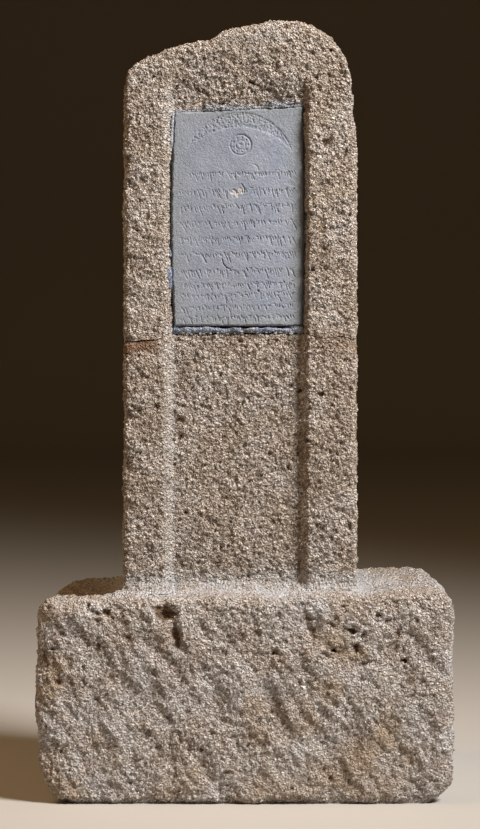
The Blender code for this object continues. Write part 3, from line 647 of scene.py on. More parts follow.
# %% The lower fragment
plain_across = np.linspace(0, 1, 228 + 1)
skin, faces = box_skin(plain_across, SHAFT_DEEP, spread([0, 0.317], [0.00132]))
ring_count = int((skin[:, 2] == 0).sum())
x, y = shaft_places(skin)
foot = SHAFT_FOOT + HAIR
z = foot + (break_height(x, y) - foot) * skin[:, 2]
points = np.column_stack([shaft_plan(x, y, z), z])
keep = (0.35 + 0.65 * ramp(foot, foot + 0.012, z)) * side_share(y)
out = level_ends(way_out(points, faces), skin, ring_count)
points, pit = worn(points, out, 60, keep, dents=LEFT_ARRIS_DENTS)
points[:, 2] = np.where(skin[:, 2] == 0, foot, points[:, 2])
lower = make_piece("lower_fragment", points, faces, stone_masks(points, pit))

# %% [markdown]
# ## The mortar in the break
# The two fragments were set back together on a thin bed of mortar, thickest at the left, where a wedge
# of stone is lost. Under the plaque it was stippled to look like the stone. At the left end the trowel
# left it smooth, and there its ochre colour shows. At the right end a little of both is left.

# %% The mortar in the break
skin, faces = box_skin(plain_across, SHAFT_DEEP, spread([0, 0.010], [0.0013]))
x, y = shaft_places(skin)
z = break_height(x, y) + HAIR + (mend_thickness(x) - 2 * HAIR) * skin[:, 2]
points = np.column_stack([shaft_plan(x, y, np.full_like(z, BREAK_LEVEL)), z])
ring_count = int((skin[:, 2] == 0).sum())
level_out = way_out(points, faces)[3 * ring_count : 4 * ring_count] * [1, 1, 0]
out = np.tile(level_out, (len(points) // ring_count, 1))
smooth = ramp(-0.104, -0.124, x) + 0.25 * ramp(0.082, 0.100, x)
rim = ramp(0.70, 1.0, skin[:, 2]) * ramp(-0.100, -0.120, x)
stipple, pit = wear_height(points, 60)
set_back = stipple * (1 - 0.6 * smooth) * side_share(y) - 0.0018 * rim - 0.0008 * smooth
points = points + out * set_back[:, None]
masks = {"pit": pit * (1 - smooth), "dust_and_highlight": 0 * z, "ochre": smooth}
mend = make_piece("mend_mortar_bed", points, faces, masks)

# %% [markdown]
# ## The upper fragment
# The same plan goes on up to the crown. The mason cut a socket for the plaque, open below where the
# break runs into it. To cut it cleanly, the columns of points follow the socket's slightly bowed sides,
# and one row follows its sloping top. Then the points inside are simply pushed back to its floor.

# %% The socket's outline
def socket_side(share, left):
    """Where the socket's side lies at a share of its height: bowed out by the parabola 4 s (1 - s), and
    ragged by half a millimetre."""
    bow = 4 * share * (1 - share)
    spots = np.stack([share * 0.284, 0 * share + left, 0 * share], axis=-1)
    ragged = 0.0007 * rough_noise(spots, 0.009, 43, 3)
    if left:
        return PLAQUE_LEFT - 0.0026 - PLAQUE_BOW * bow + ragged
    return PLAQUE_RIGHT + 0.0024 + 0.5 * PLAQUE_BOW * bow + ragged


LEFT_COLUMN = (PLAQUE_LEFT - 0.004 - SHAFT_LEFT) / (SHAFT_RIGHT - SHAFT_LEFT)
RIGHT_COLUMN = (PLAQUE_RIGHT + 0.002 - SHAFT_LEFT) / (SHAFT_RIGHT - SHAFT_LEFT)
SLIT = 0.0007
upper_marks = [0, LEFT_COLUMN, LEFT_COLUMN + SLIT, RIGHT_COLUMN - SLIT, RIGHT_COLUMN, 1]
upper_across = front_shares(upper_marks, 0.0049)
TOP_ROW = 0.716
upper_high = spread([0, TOP_ROW, TOP_ROW + 0.0005, 0.955, 1], [0.0037, 0.0037, 0.0037, 0.0030])
print("upper grid", len(upper_across), "by", len(upper_high))

# %% The upper fragment
skin, faces = box_skin(upper_across, SHAFT_DEEP, upper_high, lid="grid")
ring_count = int((skin[:, 2] == 0).sum())
share = np.clip(skin[:, 2] / TOP_ROW * 1.03 - 0.03, 0, 1)
left_side, right_side = socket_side(share, True), socket_side(share, False)
a = skin[:, 0]
x = np.where(
    a < LEFT_COLUMN,
    SHAFT_LEFT + (left_side - SHAFT_LEFT) * a / LEFT_COLUMN,
    np.where(
        a > RIGHT_COLUMN,
        right_side + (SHAFT_RIGHT - right_side) * (a - RIGHT_COLUMN) / (1 - RIGHT_COLUMN),
        left_side + (right_side - left_side) * (a - LEFT_COLUMN) / (RIGHT_COLUMN - LEFT_COLUMN),
    ),
)
y = SHAFT_FRONT + (SHAFT_BACK - SHAFT_FRONT) * skin[:, 1]
foot = break_height(x, y) + mend_thickness(x) + 2 * HAIR
crown = crown_height(x, y)
under = foot + (socket_top(x) - foot) * np.minimum(1, skin[:, 2] / TOP_ROW)
z = under + (crown - socket_top(x)) * np.clip((skin[:, 2] - TOP_ROW) / (1 - TOP_ROW), 0, 1)
low, high = (SHAFT_LEFT, SHAFT_FRONT, -9), (SHAFT_RIGHT, SHAFT_BACK, 0)
boxed = np.column_stack([x, y, z - crown])
worn_edge = rounded(boxed, low, high, (0.010, 0.010, 0.013))
plain_edge = rounded(boxed[:, :2], low[:2], high[:2], (ARRIS, ARRIS))
plan = shaft_plan(x, y, z)
near_top = (z - crown) > -0.0131
plan = np.where(near_top[:, None], worn_edge[:, :2] + plan - plain_edge, plan)
z = np.where(near_top, worn_edge[:, 2] + crown, z)
points = np.column_stack([plan, z])
inside = (a > LEFT_COLUMN) & (a < RIGHT_COLUMN) & (skin[:, 1] == 0) & (skin[:, 2] < TOP_ROW)
keep = np.where(inside, 0.0, 0.45 + 0.55 * ramp(foot, foot + 0.006, z))
keep = keep * np.where(near_top, 1.0, side_share(y))
out = way_out(points, faces)
out[:ring_count] = out[ring_count : 2 * ring_count]
points, pit = worn(points, out, 60, keep, dents=LEFT_ARRIS_DENTS)
points[:, 1] = np.where(inside, SOCKET_BACK, points[:, 1])
upper = make_piece("upper_fragment", points, faces, stone_masks(points, pit))

# %% [markdown]
# ## The mortar at the foot
# Pale mortar squeezed out when the shaft was set down, and was drawn up its sides into a hollow fillet.
# It is a tray: flat below, with a rim that climbs the stone. A ring of points goes round the shaft, and
# each point carries a profile from the block up to the rim.

# %% The foot mortar
REACH, CLIMB = 0.0105, 0.0085
ring, _ = box_skin(plain_across, SHAFT_DEEP, np.array([0.0, 1.0]))
ring = ring[: len(ring) // 2]
x, y = shaft_places(ring)
count = len(x)
plan = shaft_plan(x, y, np.full(count, SHAFT_FOOT))
low, high = (SHAFT_LEFT, SHAFT_FRONT), (SHAFT_RIGHT, SHAFT_BACK)
flat = rounded(np.stack([x, y], axis=1), low, high, (ARRIS, ARRIS))
run = np.roll(flat, -1, axis=0) - np.roll(flat, 1, axis=0)
run = run / np.linalg.norm(run, axis=1, keepdims=True)
outward = np.stack([run[:, 1], -run[:, 0]], axis=1)
places = np.column_stack([flat, np.zeros(count)])
reach = REACH * (0.80 + 0.45 * rough_noise(places, 0.026, 91, 4))
climb = CLIMB * (0.65 + 0.60 * rough_noise(places, 0.022, 95, 4))
bottom = BLOCK_HIGH - 0.0030
steps = np.linspace(0, 1, 13)
loops = [np.column_stack([flat + outward * (reach[:, None] + 0.003), np.full(count, bottom)])]
for step in steps:
    spot = (flat + outward * reach[:, None]) * (1 - step) + (plan + outward * 0.0004) * step
    rise = bottom + 0.0002 + (0.0075 + climb) * (0.60 * step + 0.40 * step**3)
    loops.append(np.column_stack([spot, rise]))
loops.append(np.column_stack([plan - outward * 0.0035, bottom + 0.0065 + climb]))
loops.append(np.column_stack([plan - outward * 0.0038, np.full(count, SHAFT_FOOT - 0.0004)]))
points = np.concatenate(loops)
quads, ends = loop_quads(len(loops), count), loop_ends(len(loops), count)
swing = 0.35 + 0.65 * np.sin(np.pi * np.clip(steps, 0.0, 0.75) / 1.5)
keep = np.concatenate([np.zeros(count), np.repeat(swing, count), np.zeros(2 * count)])
grown, pit = worn(points, way_out(points, [quads]), 60, keep)
points = np.where(keep[:, None] > 0, grown, points)
points[:, 2] = np.maximum(points[:, 2], bottom)
cloud = 0.5 + 0.5 * rough_noise(points, 0.012, 97, 3)
masks = {"pit": pit, "dust_and_highlight": np.clip(1.3 * cloud - 0.15, 0, 1), "ochre": 0 * pit}
foot_mortar = make_piece("foot_mortar_fillet", points, [quads] + ends, masks)

# %% [markdown]
# ## The plaque
# The slab is fine grey stone, sawn flat and only lightly cut: a pecked crescent with its horns down over
# a ringed disc, and under them eleven rows. The real rows are writing. Here they are shallow strokes of
# the same size and slant that spell nothing. A groove is easiest as a height for every point of a fine
# grid: each stroke lowers the points near its line, least at its edges.

# %% The plaque's outline and grid
PLAQUE_COLUMNS, PLAQUE_ROWS = 268, 352


def plaque_point(across, up):
    """The place on the plaque's face at a share across and a share up: the sides bow out by a parabola, and
    the top edge falls to the left by the skew."""
    bow = 4 * up * (1 - up)
    left = PLAQUE_LEFT - PLAQUE_BOW * bow
    right = PLAQUE_RIGHT + 0.5 * PLAQUE_BOW * bow
    top = PLAQUE_TOP - PLAQUE_SKEW * (1 - across)
    return left + (right - left) * across, PLAQUE_FOOT + (top - PLAQUE_FOOT) * up


across, up = np.meshgrid(np.linspace(0, 1, PLAQUE_COLUMNS + 1), np.linspace(0, 1, PLAQUE_ROWS + 1))
face_x, face_z = plaque_point(across, up)
face = np.stack([face_x, 0 * face_x, face_z], axis=-1)
print("plaque face", np.round([face_x.min(), face_x.max(), face_z.min(), face_z.max()], 4).tolist())

# %% The crescent and the disc
PLAQUE_MIDDLE = 0.5 * (PLAQUE_LEFT + PLAQUE_RIGHT) + 0.0012
HORN_LEVEL = PLAQUE_TOP - 0.055
CRESCENT_SPAN, OUTER_RISE, INNER_RISE = 0.134, 0.047, 0.028
RIM_RADIUS, DOTS_RADIUS, RING_RADIUS, BOSS_RADIUS = 0.0131, 0.0094, 0.0060, 0.0017
DOT_COUNT = 9


def arch_distance(span, rise):
    """How far each point lies inside a round arch over a span: its radius is (half^2 + rise^2) / 2 rise."""
    half = span / 2
    radius = (half**2 + rise**2) / (2 * rise)
    return radius - np.hypot(face_x - PLAQUE_MIDDLE, face_z - (HORN_LEVEL + rise - radius))


outer_gap, inner_gap = arch_distance(CRESCENT_SPAN, OUTER_RISE), -arch_distance(CRESCENT_SPAN, INNER_RISE)
above_horns = ramp(-0.002, 0.003, face_z - HORN_LEVEL)
band = ramp(-0.0010, 0.0012, np.minimum(outer_gap, inner_gap)) * above_horns
peck_gap, peck_lot = nearest_grain(face, 0.0027, 121)
fleck_gap, fleck_lot = nearest_grain(face, 0.0021, 131)
pecks = np.clip(1 - peck_gap / 0.62, 0, 1) * (0.35 + 0.65 * peck_lot)
flecks = np.clip(1 - fleck_gap / 0.60, 0, 1) * fleck_lot
left_worn = 1.25 - 0.40 * ramp(-0.05, 0.05, face_x - PLAQUE_MIDDLE)
relief = -band * left_worn * (0.0002 + 0.0014 * pecks + 0.0010 * flecks)
broken = np.clip(0.7 + 0.9 * rough_noise(face, 0.006, 135, 2), 0, 1.2)
right_half = 0.30 + 0.70 * ramp(0.0, 0.03, face_x - PLAQUE_MIDDLE)
relief -= 0.0008 * np.exp(-((outer_gap / 0.0008) ** 2)) * above_horns * right_half * broken
relief -= 0.0004 * np.exp(-((inner_gap / 0.0008) ** 2)) * above_horns * right_half * broken

disc_x, disc_z = face_x - PLAQUE_MIDDLE - 0.0016, face_z - (PLAQUE_TOP - 0.0497)
disc_r = np.hypot(disc_x * 0.97, disc_z)
disc_turn = np.arctan2(disc_z, disc_x)
relief -= 0.0014 * np.exp(-(((disc_r - RIM_RADIUS) / 0.0010) ** 2)) * (0.8 + 0.2 * np.cos(disc_turn - 0.3))
relief -= 0.0008 * np.exp(-(((disc_r - RING_RADIUS) / 0.0007) ** 2))
dots = np.clip(np.cos(DOT_COUNT * disc_turn), 0, 1) * np.exp(-(((disc_r - DOTS_RADIUS) / 0.0011) ** 2))
relief -= 0.0011 * dots + 0.0009 * np.exp(-((disc_r / BOSS_RADIUS) ** 2))
relief -= 0.0008 * flecks * (disc_r < 0.0125)
print("deepest sign", relief.min().round(5))

# %% The rows of strokes
stroke_lot = np.random.default_rng(17)


def carve(path, half_width, depth):
    """Lowers the face near a bent line: by the depth times 1 - (d / half width)^2, d being the distance to
    the nearest of its straight parts. Only the part of the grid round the line is worked out."""
    path = np.array(path)
    low, high = path.min(axis=0) - half_width, path.max(axis=0) + half_width
    near = (face_x > low[0]) & (face_x < high[0]) & (face_z > low[1]) & (face_z < high[1])
    rows, columns = np.where(near.any(axis=1))[0], np.where(near.any(axis=0))[0]
    if not len(rows):
        return
    window = (slice(rows[0], rows[-1] + 1), slice(columns[0], columns[-1] + 1))
    spot = np.stack([face_x[window], face_z[window]], axis=-1)
    gap = np.full(spot.shape[:-1], np.inf)
    for start, end in zip(path, path[1:]):
        run = end - start
        share = np.clip(((spot - start) @ run) / max(run @ run, 1e-12), 0, 1)
        gap = np.minimum(gap, np.linalg.norm(spot - start - share[..., None] * run, axis=-1))
    groove = depth * np.clip(1 - (gap / half_width) ** 2, 0, 1)
    relief[window] = np.minimum(relief[window], 0.5 * relief[window] - groove)


def stroke(x, level, tall, deep):
    """One plain stroke that hangs from a level, leaning to the right: most are short, some have a long bent
    tail, and some lie nearly flat."""
    lean = stroke_lot.uniform(0.10, 0.55)
    kind = stroke_lot.choice(4, p=[0.50, 0.22, 0.16, 0.12])
    long = tall * stroke_lot.uniform(*((0.30, 0.60), (0.85, 1.45), (0.05, 0.15), (0.35, 0.60))[kind])
    start = np.array([x, level - stroke_lot.uniform(-0.0008, 0.0028)])
    run = np.array([lean * long, -long])
    if kind == 2:
        run = np.array([stroke_lot.uniform(0.0020, 0.0034), stroke_lot.uniform(-0.0010, 0.0012)])
    if kind == 3:
        run = run * [-1.4, 1.0]
    bend = start + 0.5 * run + [stroke_lot.uniform(-0.0004, 0.0008), 0]
    carve([start, bend, start + run], stroke_lot.uniform(0.00058, 0.00080), deep)


ROW_DROPS = (0.083, 0.105, 0.1255, 0.146, 0.167, 0.187, 0.2085, 0.2265, 0.2400, 0.2560, 0.2695)
stroke_count = 0
for row, drop in enumerate(ROW_DROPS):
    x = PLAQUE_LEFT + (0.0165 if row == 0 else 0.0060) + stroke_lot.uniform(0, 0.003)
    tall = 0.0080 if row < 7 else 0.0066
    while x < PLAQUE_RIGHT - 0.0100:
        level = PLAQUE_TOP - drop - 0.0035 * (PLAQUE_RIGHT - x) / 0.17 + stroke_lot.uniform(-0.0009, 0.0009)
        fresh = 0.60 + 0.40 * min(1.0, max(0.0, (x - PLAQUE_LEFT) / 0.09))
        stroke(x, level, tall, stroke_lot.uniform(0.0007, 0.0013) * fresh)
        stroke_count += 1
        x += stroke_lot.uniform(0.0013, 0.0037) + (0.004 if stroke_lot.uniform() < 0.05 else 0.0)
print("strokes in the rows:", stroke_count)

# %% [markdown]
# Age has been at the slab too. There is a pale bruise where two flakes came off, a curved scratch, a few
# pinholes, and edges nibbled all the way round. The face as a whole swells by a fraction of a millimetre.

# %% Wear on the plaque
FLAKES = (
    # across, height, half width and half height of each flake that came off
    (-0.0145, 0.7790, 0.0052, 0.0044),
    (-0.0050, 0.7815, 0.0036, 0.0044),
    (-0.0105, 0.7770, 0.0044, 0.0036),
)
bruise = np.zeros_like(face_x)
for spot_x, spot_z, wide, high in FLAKES:
    gap = np.hypot((face_x - spot_x) / wide, (face_z - spot_z) / high)
    gap = gap + 0.75 * rough_noise(face, 0.0045, 141, 3)
    bruise = np.maximum(bruise, 1 - ramp(0.5, 1.1, gap))
relief -= 0.0010 * bruise * (0.6 + 0.6 * rough_noise(face, 0.0028, 143, 2))
carve([(-0.0300, 0.6930), (-0.0285, 0.6865), (-0.0245, 0.6815), (-0.0190, 0.6795)], 0.0010, 0.0013)
carve([(0.0120, 0.8150), (0.0160, 0.8120), (0.0170, 0.8080)], 0.0010, 0.0008)
carve([(-0.0050, 0.7900), (-0.0010, 0.7840), (-0.0015, 0.7790)], 0.0010, 0.0011)
carve([(0.0165, 0.6520), (0.0172, 0.6512)], 0.0015, 0.0030)
carve([(-0.0150, 0.8010), (-0.0130, 0.7960)], 0.0009, 0.0007)
relief += 0.00030 * rough_noise(face, 0.040, 151, 2) + 0.00020 * rough_noise(face, 0.0038, 153, 3)
speck_gap, speck_lot = nearest_grain(face, 0.0100, 161)
relief -= 0.0010 * np.clip(1 - speck_gap / (0.05 + 0.08 * speck_lot), 0, 1)
wide_here = (PLAQUE_RIGHT - PLAQUE_LEFT) * np.minimum(across, 1 - across)
tall_here = (PLAQUE_TOP - PLAQUE_FOOT) * np.minimum(up, 1 - up)
edge_gap = np.minimum(wide_here, tall_here) + 0.0011 * rough_noise(face, 0.006, 171, 3)
relief -= 0.0022 * (1 - ramp(0, 0.0026, edge_gap)) ** 2
print("relief from", relief.min().round(5), "to", relief.max().round(5))

# %% The plaque
tilt = 0.0030 * ramp(0.55, 1.0, across) * ramp(1.02, 0.85, up)
front = np.stack([face_x, PLAQUE_FRONT + tilt - relief, face_z], axis=-1).reshape(-1, 3)
number = np.arange(front.shape[0]).reshape(face_x.shape)
face_quads = grid_quads(number)
border = np.concatenate([number[0, :-1], number[:-1, -1], number[-1, :0:-1], number[:0:-1, 0]])
slab_points, slab_faces, last_ring = [front], [face_quads], border
for depth in (0.0062, 0.0135):
    ring = front[border].copy()
    ring[:, 1] = PLAQUE_FRONT + depth
    new = sum(len(part) for part in slab_points) + np.arange(len(border))
    slab_points.append(ring)
    slab_faces.append(np.stack([last_ring, new, np.roll(new, -1), np.roll(last_ring, -1)], axis=1))
    last_ring = new
slab_faces.append(last_ring[None, ::-1])
points = np.concatenate(slab_points)
masks = {"groove": -relief / 0.0010, "bruise": bruise, "margin": 1 - ramp(0.002, 0.030, edge_gap)}
spare = np.zeros(len(points) - len(front))
masks = {name: np.clip(np.concatenate([values.ravel(), spare]), 0, 1) for name, values in masks.items()}
plaque = make_piece("slate_plaque", points, slab_faces, masks, sharp=80)

# %% [markdown]
# ## The bedding of the plaque
# Blue-grey mortar fills the socket behind the slab. Along the left it has shrunk away and left a thin
# crevice, with a few lumps that still reach the face. It brims over in whitish crumbs at the top and
# makes a lip below. A ring of points goes round the slab again, and a height along the ring says how far
# the mortar comes forward. The crumbs are small closed pebbles, pushed into the same mesh.

# %% The plaque's bedding
SIDE, END = 250, 150
along_end, along_side = np.linspace(0, 1, END + 1)[:-1], np.linspace(0, 1, SIDE + 1)[:-1]
ring_across = np.concatenate([along_end, np.ones(SIDE), 1 - along_end, np.zeros(SIDE)])
ring_up = np.concatenate([np.zeros(END), along_side, np.ones(END), 1 - along_side])
inner_x, inner_z = plaque_point(ring_across, ring_up)
out_x = np.concatenate([np.zeros(END), np.ones(SIDE), np.zeros(END), -np.ones(SIDE)])
out_z = np.concatenate([-np.ones(END), np.zeros(SIDE), np.ones(END), np.zeros(SIDE)])
for corner, signs in zip((0, END, END + SIDE, 2 * END + SIDE), ((-1, -1), (1, -1), (1, 1), (-1, 1))):
    out_x[corner], out_z[corner] = signs
ring_places = np.stack([inner_x, 0 * inner_x, inner_z], axis=1)
lumps = rough_noise(ring_places, 0.010, 191, 3)
wander = rough_noise(ring_places, 0.012, 197, 4)
outer_x = inner_x + np.where(out_x > 0, 0.0019, 0.0023) * out_x
outer_z = inner_z + np.where(out_z > 0, 0.0030, 0.0094 + 0.0016 * wander) * out_z
drop = PLAQUE_TOP - inner_z
on_left, on_top, on_bottom = out_x < 0, out_z > 0, out_z < 0
strip = 1 - ramp(0.045, 0.058, drop)
nub = np.exp(-(((inner_z - 0.669) / 0.014) ** 2)) + 0.5 * np.exp(-(((inner_z - 0.700) / 0.006) ** 2))
crumbly = np.exp(-(((inner_x + 0.030) / 0.024) ** 4)) + np.exp(-(((inner_x - 0.044) / 0.024) ** 4))
depth = 0.0042 + 0.0022 * lumps
depth = np.where(on_left, depth * (1 - strip) + strip * (0.0006 + 0.0008 * lumps), depth)
depth = np.where(on_left, depth - 0.0056 * np.clip(nub + 0.3 * lumps, 0, 1), depth)
depth = np.where(on_top, 0.0020 - 0.0024 * np.clip(crumbly + 0.5 * lumps, 0, 1), depth)
depth = np.where(on_bottom, 0.0012 + 0.0016 * lumps, depth)
depth = np.clip(depth, -0.0016, 0.0100)
open_crack = np.clip(0.50 + 0.9 * rough_noise(ring_places, 0.016, 193, 4), 0, 1)
open_crack = open_crack * ramp(PLAQUE_LEFT, PLAQUE_LEFT + 0.02, inner_x) * ramp(PLAQUE_RIGHT, 0.055, inner_x)
crack = np.where(on_bottom, 0.0012 + 0.0042 * open_crack, 0.0006)
loops = [np.stack([outer_x, np.full(len(outer_x), SOCKET_BACK - HAIR), outer_z], axis=1)]
falls = []
for step in np.linspace(0, 1, 11):
    spot_x, spot_z = outer_x * (1 - step) + inner_x * step, outer_z * (1 - step) + inner_z * step
    spot = np.stack([spot_x, 0 * spot_x, spot_z], axis=1)
    in_crack = crack * ramp(0.60, 0.82, step + 0.17 * lumps)
    fall = np.where(on_bottom, 0.0022 * ramp(0.4, 0.0, step), 0) + in_crack
    bump = 0.0009 * rough_noise(spot, 0.0034, 195, 3)
    loops.append(np.stack([spot_x, PLAQUE_FRONT + depth + fall + bump, spot_z], axis=1))
    falls.append(in_crack)
inset_x, inset_z = inner_x - out_x * 0.0003, inner_z - out_z * 0.0003
loops.append(np.stack([inset_x, np.full(len(inner_x), PLAQUE_BACK + 0.0002), inset_z], axis=1))
bed_points = np.concatenate(loops)
count = len(inner_x)
bed_quads, bed_ends = loop_quads(len(loops), count), loop_ends(len(loops), count)
falls = np.stack(falls[:1] + falls + falls[-1:])
lip = np.clip(0.30 + 0.7 * rough_noise(bed_points, 0.007, 199, 3), 0, 1).reshape(falls.shape)
white_ring = np.where(on_top, 0.95, np.where(on_left, strip, np.where(on_bottom, lip, 0.0)))
bed_white = (np.clip(white_ring, 0, 1) * (1 - ramp(0.0004, 0.0016, falls))).ravel()
# Painted shade: the mortar is painted darker the further it lies behind the face, and darkest in the crack
# below the plaque.
bed_recess_shade = np.clip(np.where(on_bottom, 0, depth / 0.009) + falls / 0.0040, 0, 1).ravel()

# %% [markdown]
# A pebble is a ball whose points noise has pulled out of round, and it is flattened against the stone. Its
# middle is drawn by lot near one of the two smears above the plaque, along the left strip, or on the lip
# below. Three bigger lumps of grey mortar sit at the left, where they were pressed into the crevice.

# %% Crumbs of mortar
ball_up, ball_round = 7, 12
angle_up = np.linspace(0, np.pi, ball_up + 1)[1:-1]
angle_round = np.linspace(0, 2 * np.pi, ball_round, endpoint=False)
ball = [np.array([[0.0, 0.0, 1.0]])]
for turn in angle_up:
    wide, level = np.sin(turn), np.full(ball_round, np.cos(turn))
    ball.append(np.stack([wide * np.cos(angle_round), wide * np.sin(angle_round), level], axis=1))
ball = np.concatenate(ball + [np.array([[0.0, 0.0, -1.0]])])
belts = 1 + np.arange(ball_up - 1)[:, None] * ball_round
here, after = belts + np.arange(ball_round), belts + (np.arange(ball_round) + 1) % ball_round
ball_quads = np.stack([here[:-1], here[1:], after[1:], after[:-1]], axis=-1).reshape(-1, 4)
cap = np.stack([np.zeros(ball_round, dtype=int), here[0], after[0]], axis=1)
base = np.stack([np.full(ball_round, len(ball) - 1), after[-1], here[-1]], axis=1)

crumb_lot = np.random.default_rng(29)
middles, sizes = [], []
FLAT = np.array([1.35, 0.55, 0.85])
for place, wide, number in ((-0.030, 0.021, 30), (0.046, 0.022, 34), (0.008, 0.016, 8)):
    for _ in range(number):
        x = place + wide * crumb_lot.uniform(-1, 1)
        top = PLAQUE_TOP - PLAQUE_SKEW * (PLAQUE_RIGHT - x) / (PLAQUE_RIGHT - PLAQUE_LEFT)
        rise = 0.0002 + 0.0080 * crumb_lot.uniform() ** 1.6
        middles.append((x, PLAQUE_FRONT - 0.0002 - 0.35 * rise, top + rise))
        sizes.append(FLAT * crumb_lot.uniform(0.0007, 0.0019))
for _ in range(26):
    z = crumb_lot.uniform(0.842, 0.885)
    side = PLAQUE_LEFT - PLAQUE_BOW * 4 * (z - PLAQUE_FOOT) * (PLAQUE_TOP - z) / 0.0807
    middles.append((side - 0.0010 - 0.0016 * crumb_lot.uniform(), PLAQUE_FRONT - 0.0012, z))
    sizes.append(FLAT * crumb_lot.uniform(0.0006, 0.0013))
for _ in range(60):
    x = crumb_lot.uniform(PLAQUE_LEFT, PLAQUE_RIGHT)
    middles.append((x, PLAQUE_FRONT + 0.0028, PLAQUE_FOOT - crumb_lot.uniform(0.0035, 0.0110)))
    sizes.append(FLAT * crumb_lot.uniform(0.0008, 0.0020))
GREY_LUMPS = (
    # middle, then half width, half depth and half height
    ((-0.0985, -0.1136, 0.6735), (0.0048, 0.0022, 0.0090)),
    ((-0.0975, -0.1130, 0.6600), (0.0036, 0.0018, 0.0060)),
    ((-0.0970, -0.1124, 0.6990), (0.0022, 0.0015, 0.0040)),
)
middles += [middle for middle, _ in GREY_LUMPS]
sizes += [np.array(size) for _, size in GREY_LUMPS]
middles, sizes = np.array(middles), np.array(sizes)
wild = crumb_lot.uniform(0.7, 1.3, (len(sizes), 1, 3))
crumbs = middles[:, None, :] + ball[None] * sizes[:, None, :] * wild
stir = np.stack([rough_noise(crumbs, 0.0020, 201 + k, 2) for k in range(3)], axis=-1)
crumbs = crumbs + 0.22 * sizes[:, None, :] * stir
starts = len(bed_points) + np.arange(len(sizes))[:, None, None] * len(ball)
crumb_faces = [(starts + part[None]).reshape(-1, part.shape[1]) for part in (ball_quads, cap, base)]
points = np.concatenate([bed_points, crumbs.reshape(-1, 3)])
each_white = np.where(sizes[:, 2] > 0.0030, 0.0, 0.50 + 0.50 * crumb_lot.uniform(size=len(sizes)))
white = np.concatenate([bed_white, np.repeat(each_white, len(ball))])
pit = np.concatenate([bed_recess_shade, np.zeros(len(white) - len(bed_recess_shade))])
masks = {"dust_and_highlight": white, "pit": pit, "ochre": 0 * white}
bedding = make_piece("plaque_bed", points, [bed_quads] + crumb_faces + bed_ends, masks)
print("crumbs:", len(sizes))

# %% [markdown]
# ## The finishes
# All the stone and mortar shares one kind of grain: small rounded grains, whose low gaps the finishes paint
# dark, partly as dirt and partly as painted shade.
# So the grain is one node group, placed in each material with its own size. It gives a height for the
# bump, a tone per grain and a mask of flecks. The group only works out values. The shader stays in the
# material.

# %% Small helpers for nodes
def linear(red, green, blue):
    """A colour as screens show it, 0 to 255, turned into light: the power 2.4 of a shifted share."""
    shares = [part / 255 for part in (red, green, blue)]
    light = [part / 12.92 if part <= 0.04045 else ((part + 0.055) / 1.055) ** 2.4 for part in shares]
    return (*light, 1.0)


def node(tree, kind, settings=None, **inputs):
    """A new node with its settings, and with each named input linked to a socket or set to a value."""
    made = tree.nodes.new(kind)
    for name, value in (settings or {}).items():
        setattr(made, name, value)
    for name, value in inputs.items():
        by_number = name[0] == "i" and name[1:].isdigit()
        socket = made.inputs[int(name[1:]) if by_number else name.replace("_", " ")]
        if isinstance(value, bpy.types.NodeSocket):
            tree.links.new(value, socket)
        else:
            socket.default_value = value
    return made


def calculate(tree, operation, first, second=0.0, clamp=False):
    """One sum on two values, and its result."""
    settings = {"operation": operation, "use_clamp": clamp}
    return node(tree, "ShaderNodeMath", settings, i0=first, i1=second).outputs[0]


def times(tree, first, second):
    """One value times another."""
    return calculate(tree, "MULTIPLY", first, second)


def mask(tree, name):
    """The number that a piece keeps at each point under a name."""
    return node(tree, "ShaderNodeAttribute", {"attribute_name": name}).outputs["Fac"]


def grey(tree, value):
    """A value as a grey."""
    return node(tree, "ShaderNodeCombineColor", Red=value, Green=value, Blue=value).outputs[0]


def blend(tree, share, first, second, way="MIX"):
    """Two colours mixed by a share, and the result."""
    mixer = node(tree, "ShaderNodeMix", {"data_type": "RGBA", "blend_type": way, "clamp_factor": True})
    for key, value in (("Factor", share), (6, first), (7, second)):
        socket = mixer.inputs[key]
        if isinstance(value, bpy.types.NodeSocket):
            tree.links.new(value, socket)
        else:
            socket.default_value = value
    return mixer.outputs[2]


def between(tree, value, low, high, start=0.0, end=1.0):
    """A value's share from low to high, held at both ends and laid from start to end."""
    made = node(tree, "ShaderNodeMapRange", {"interpolation_type": "SMOOTHSTEP"}, Value=value)
    for name, number in (("From Min", low), ("From Max", high), ("To Min", start), ("To Max", end)):
        made.inputs[name].default_value = number
    return made.outputs["Result"]


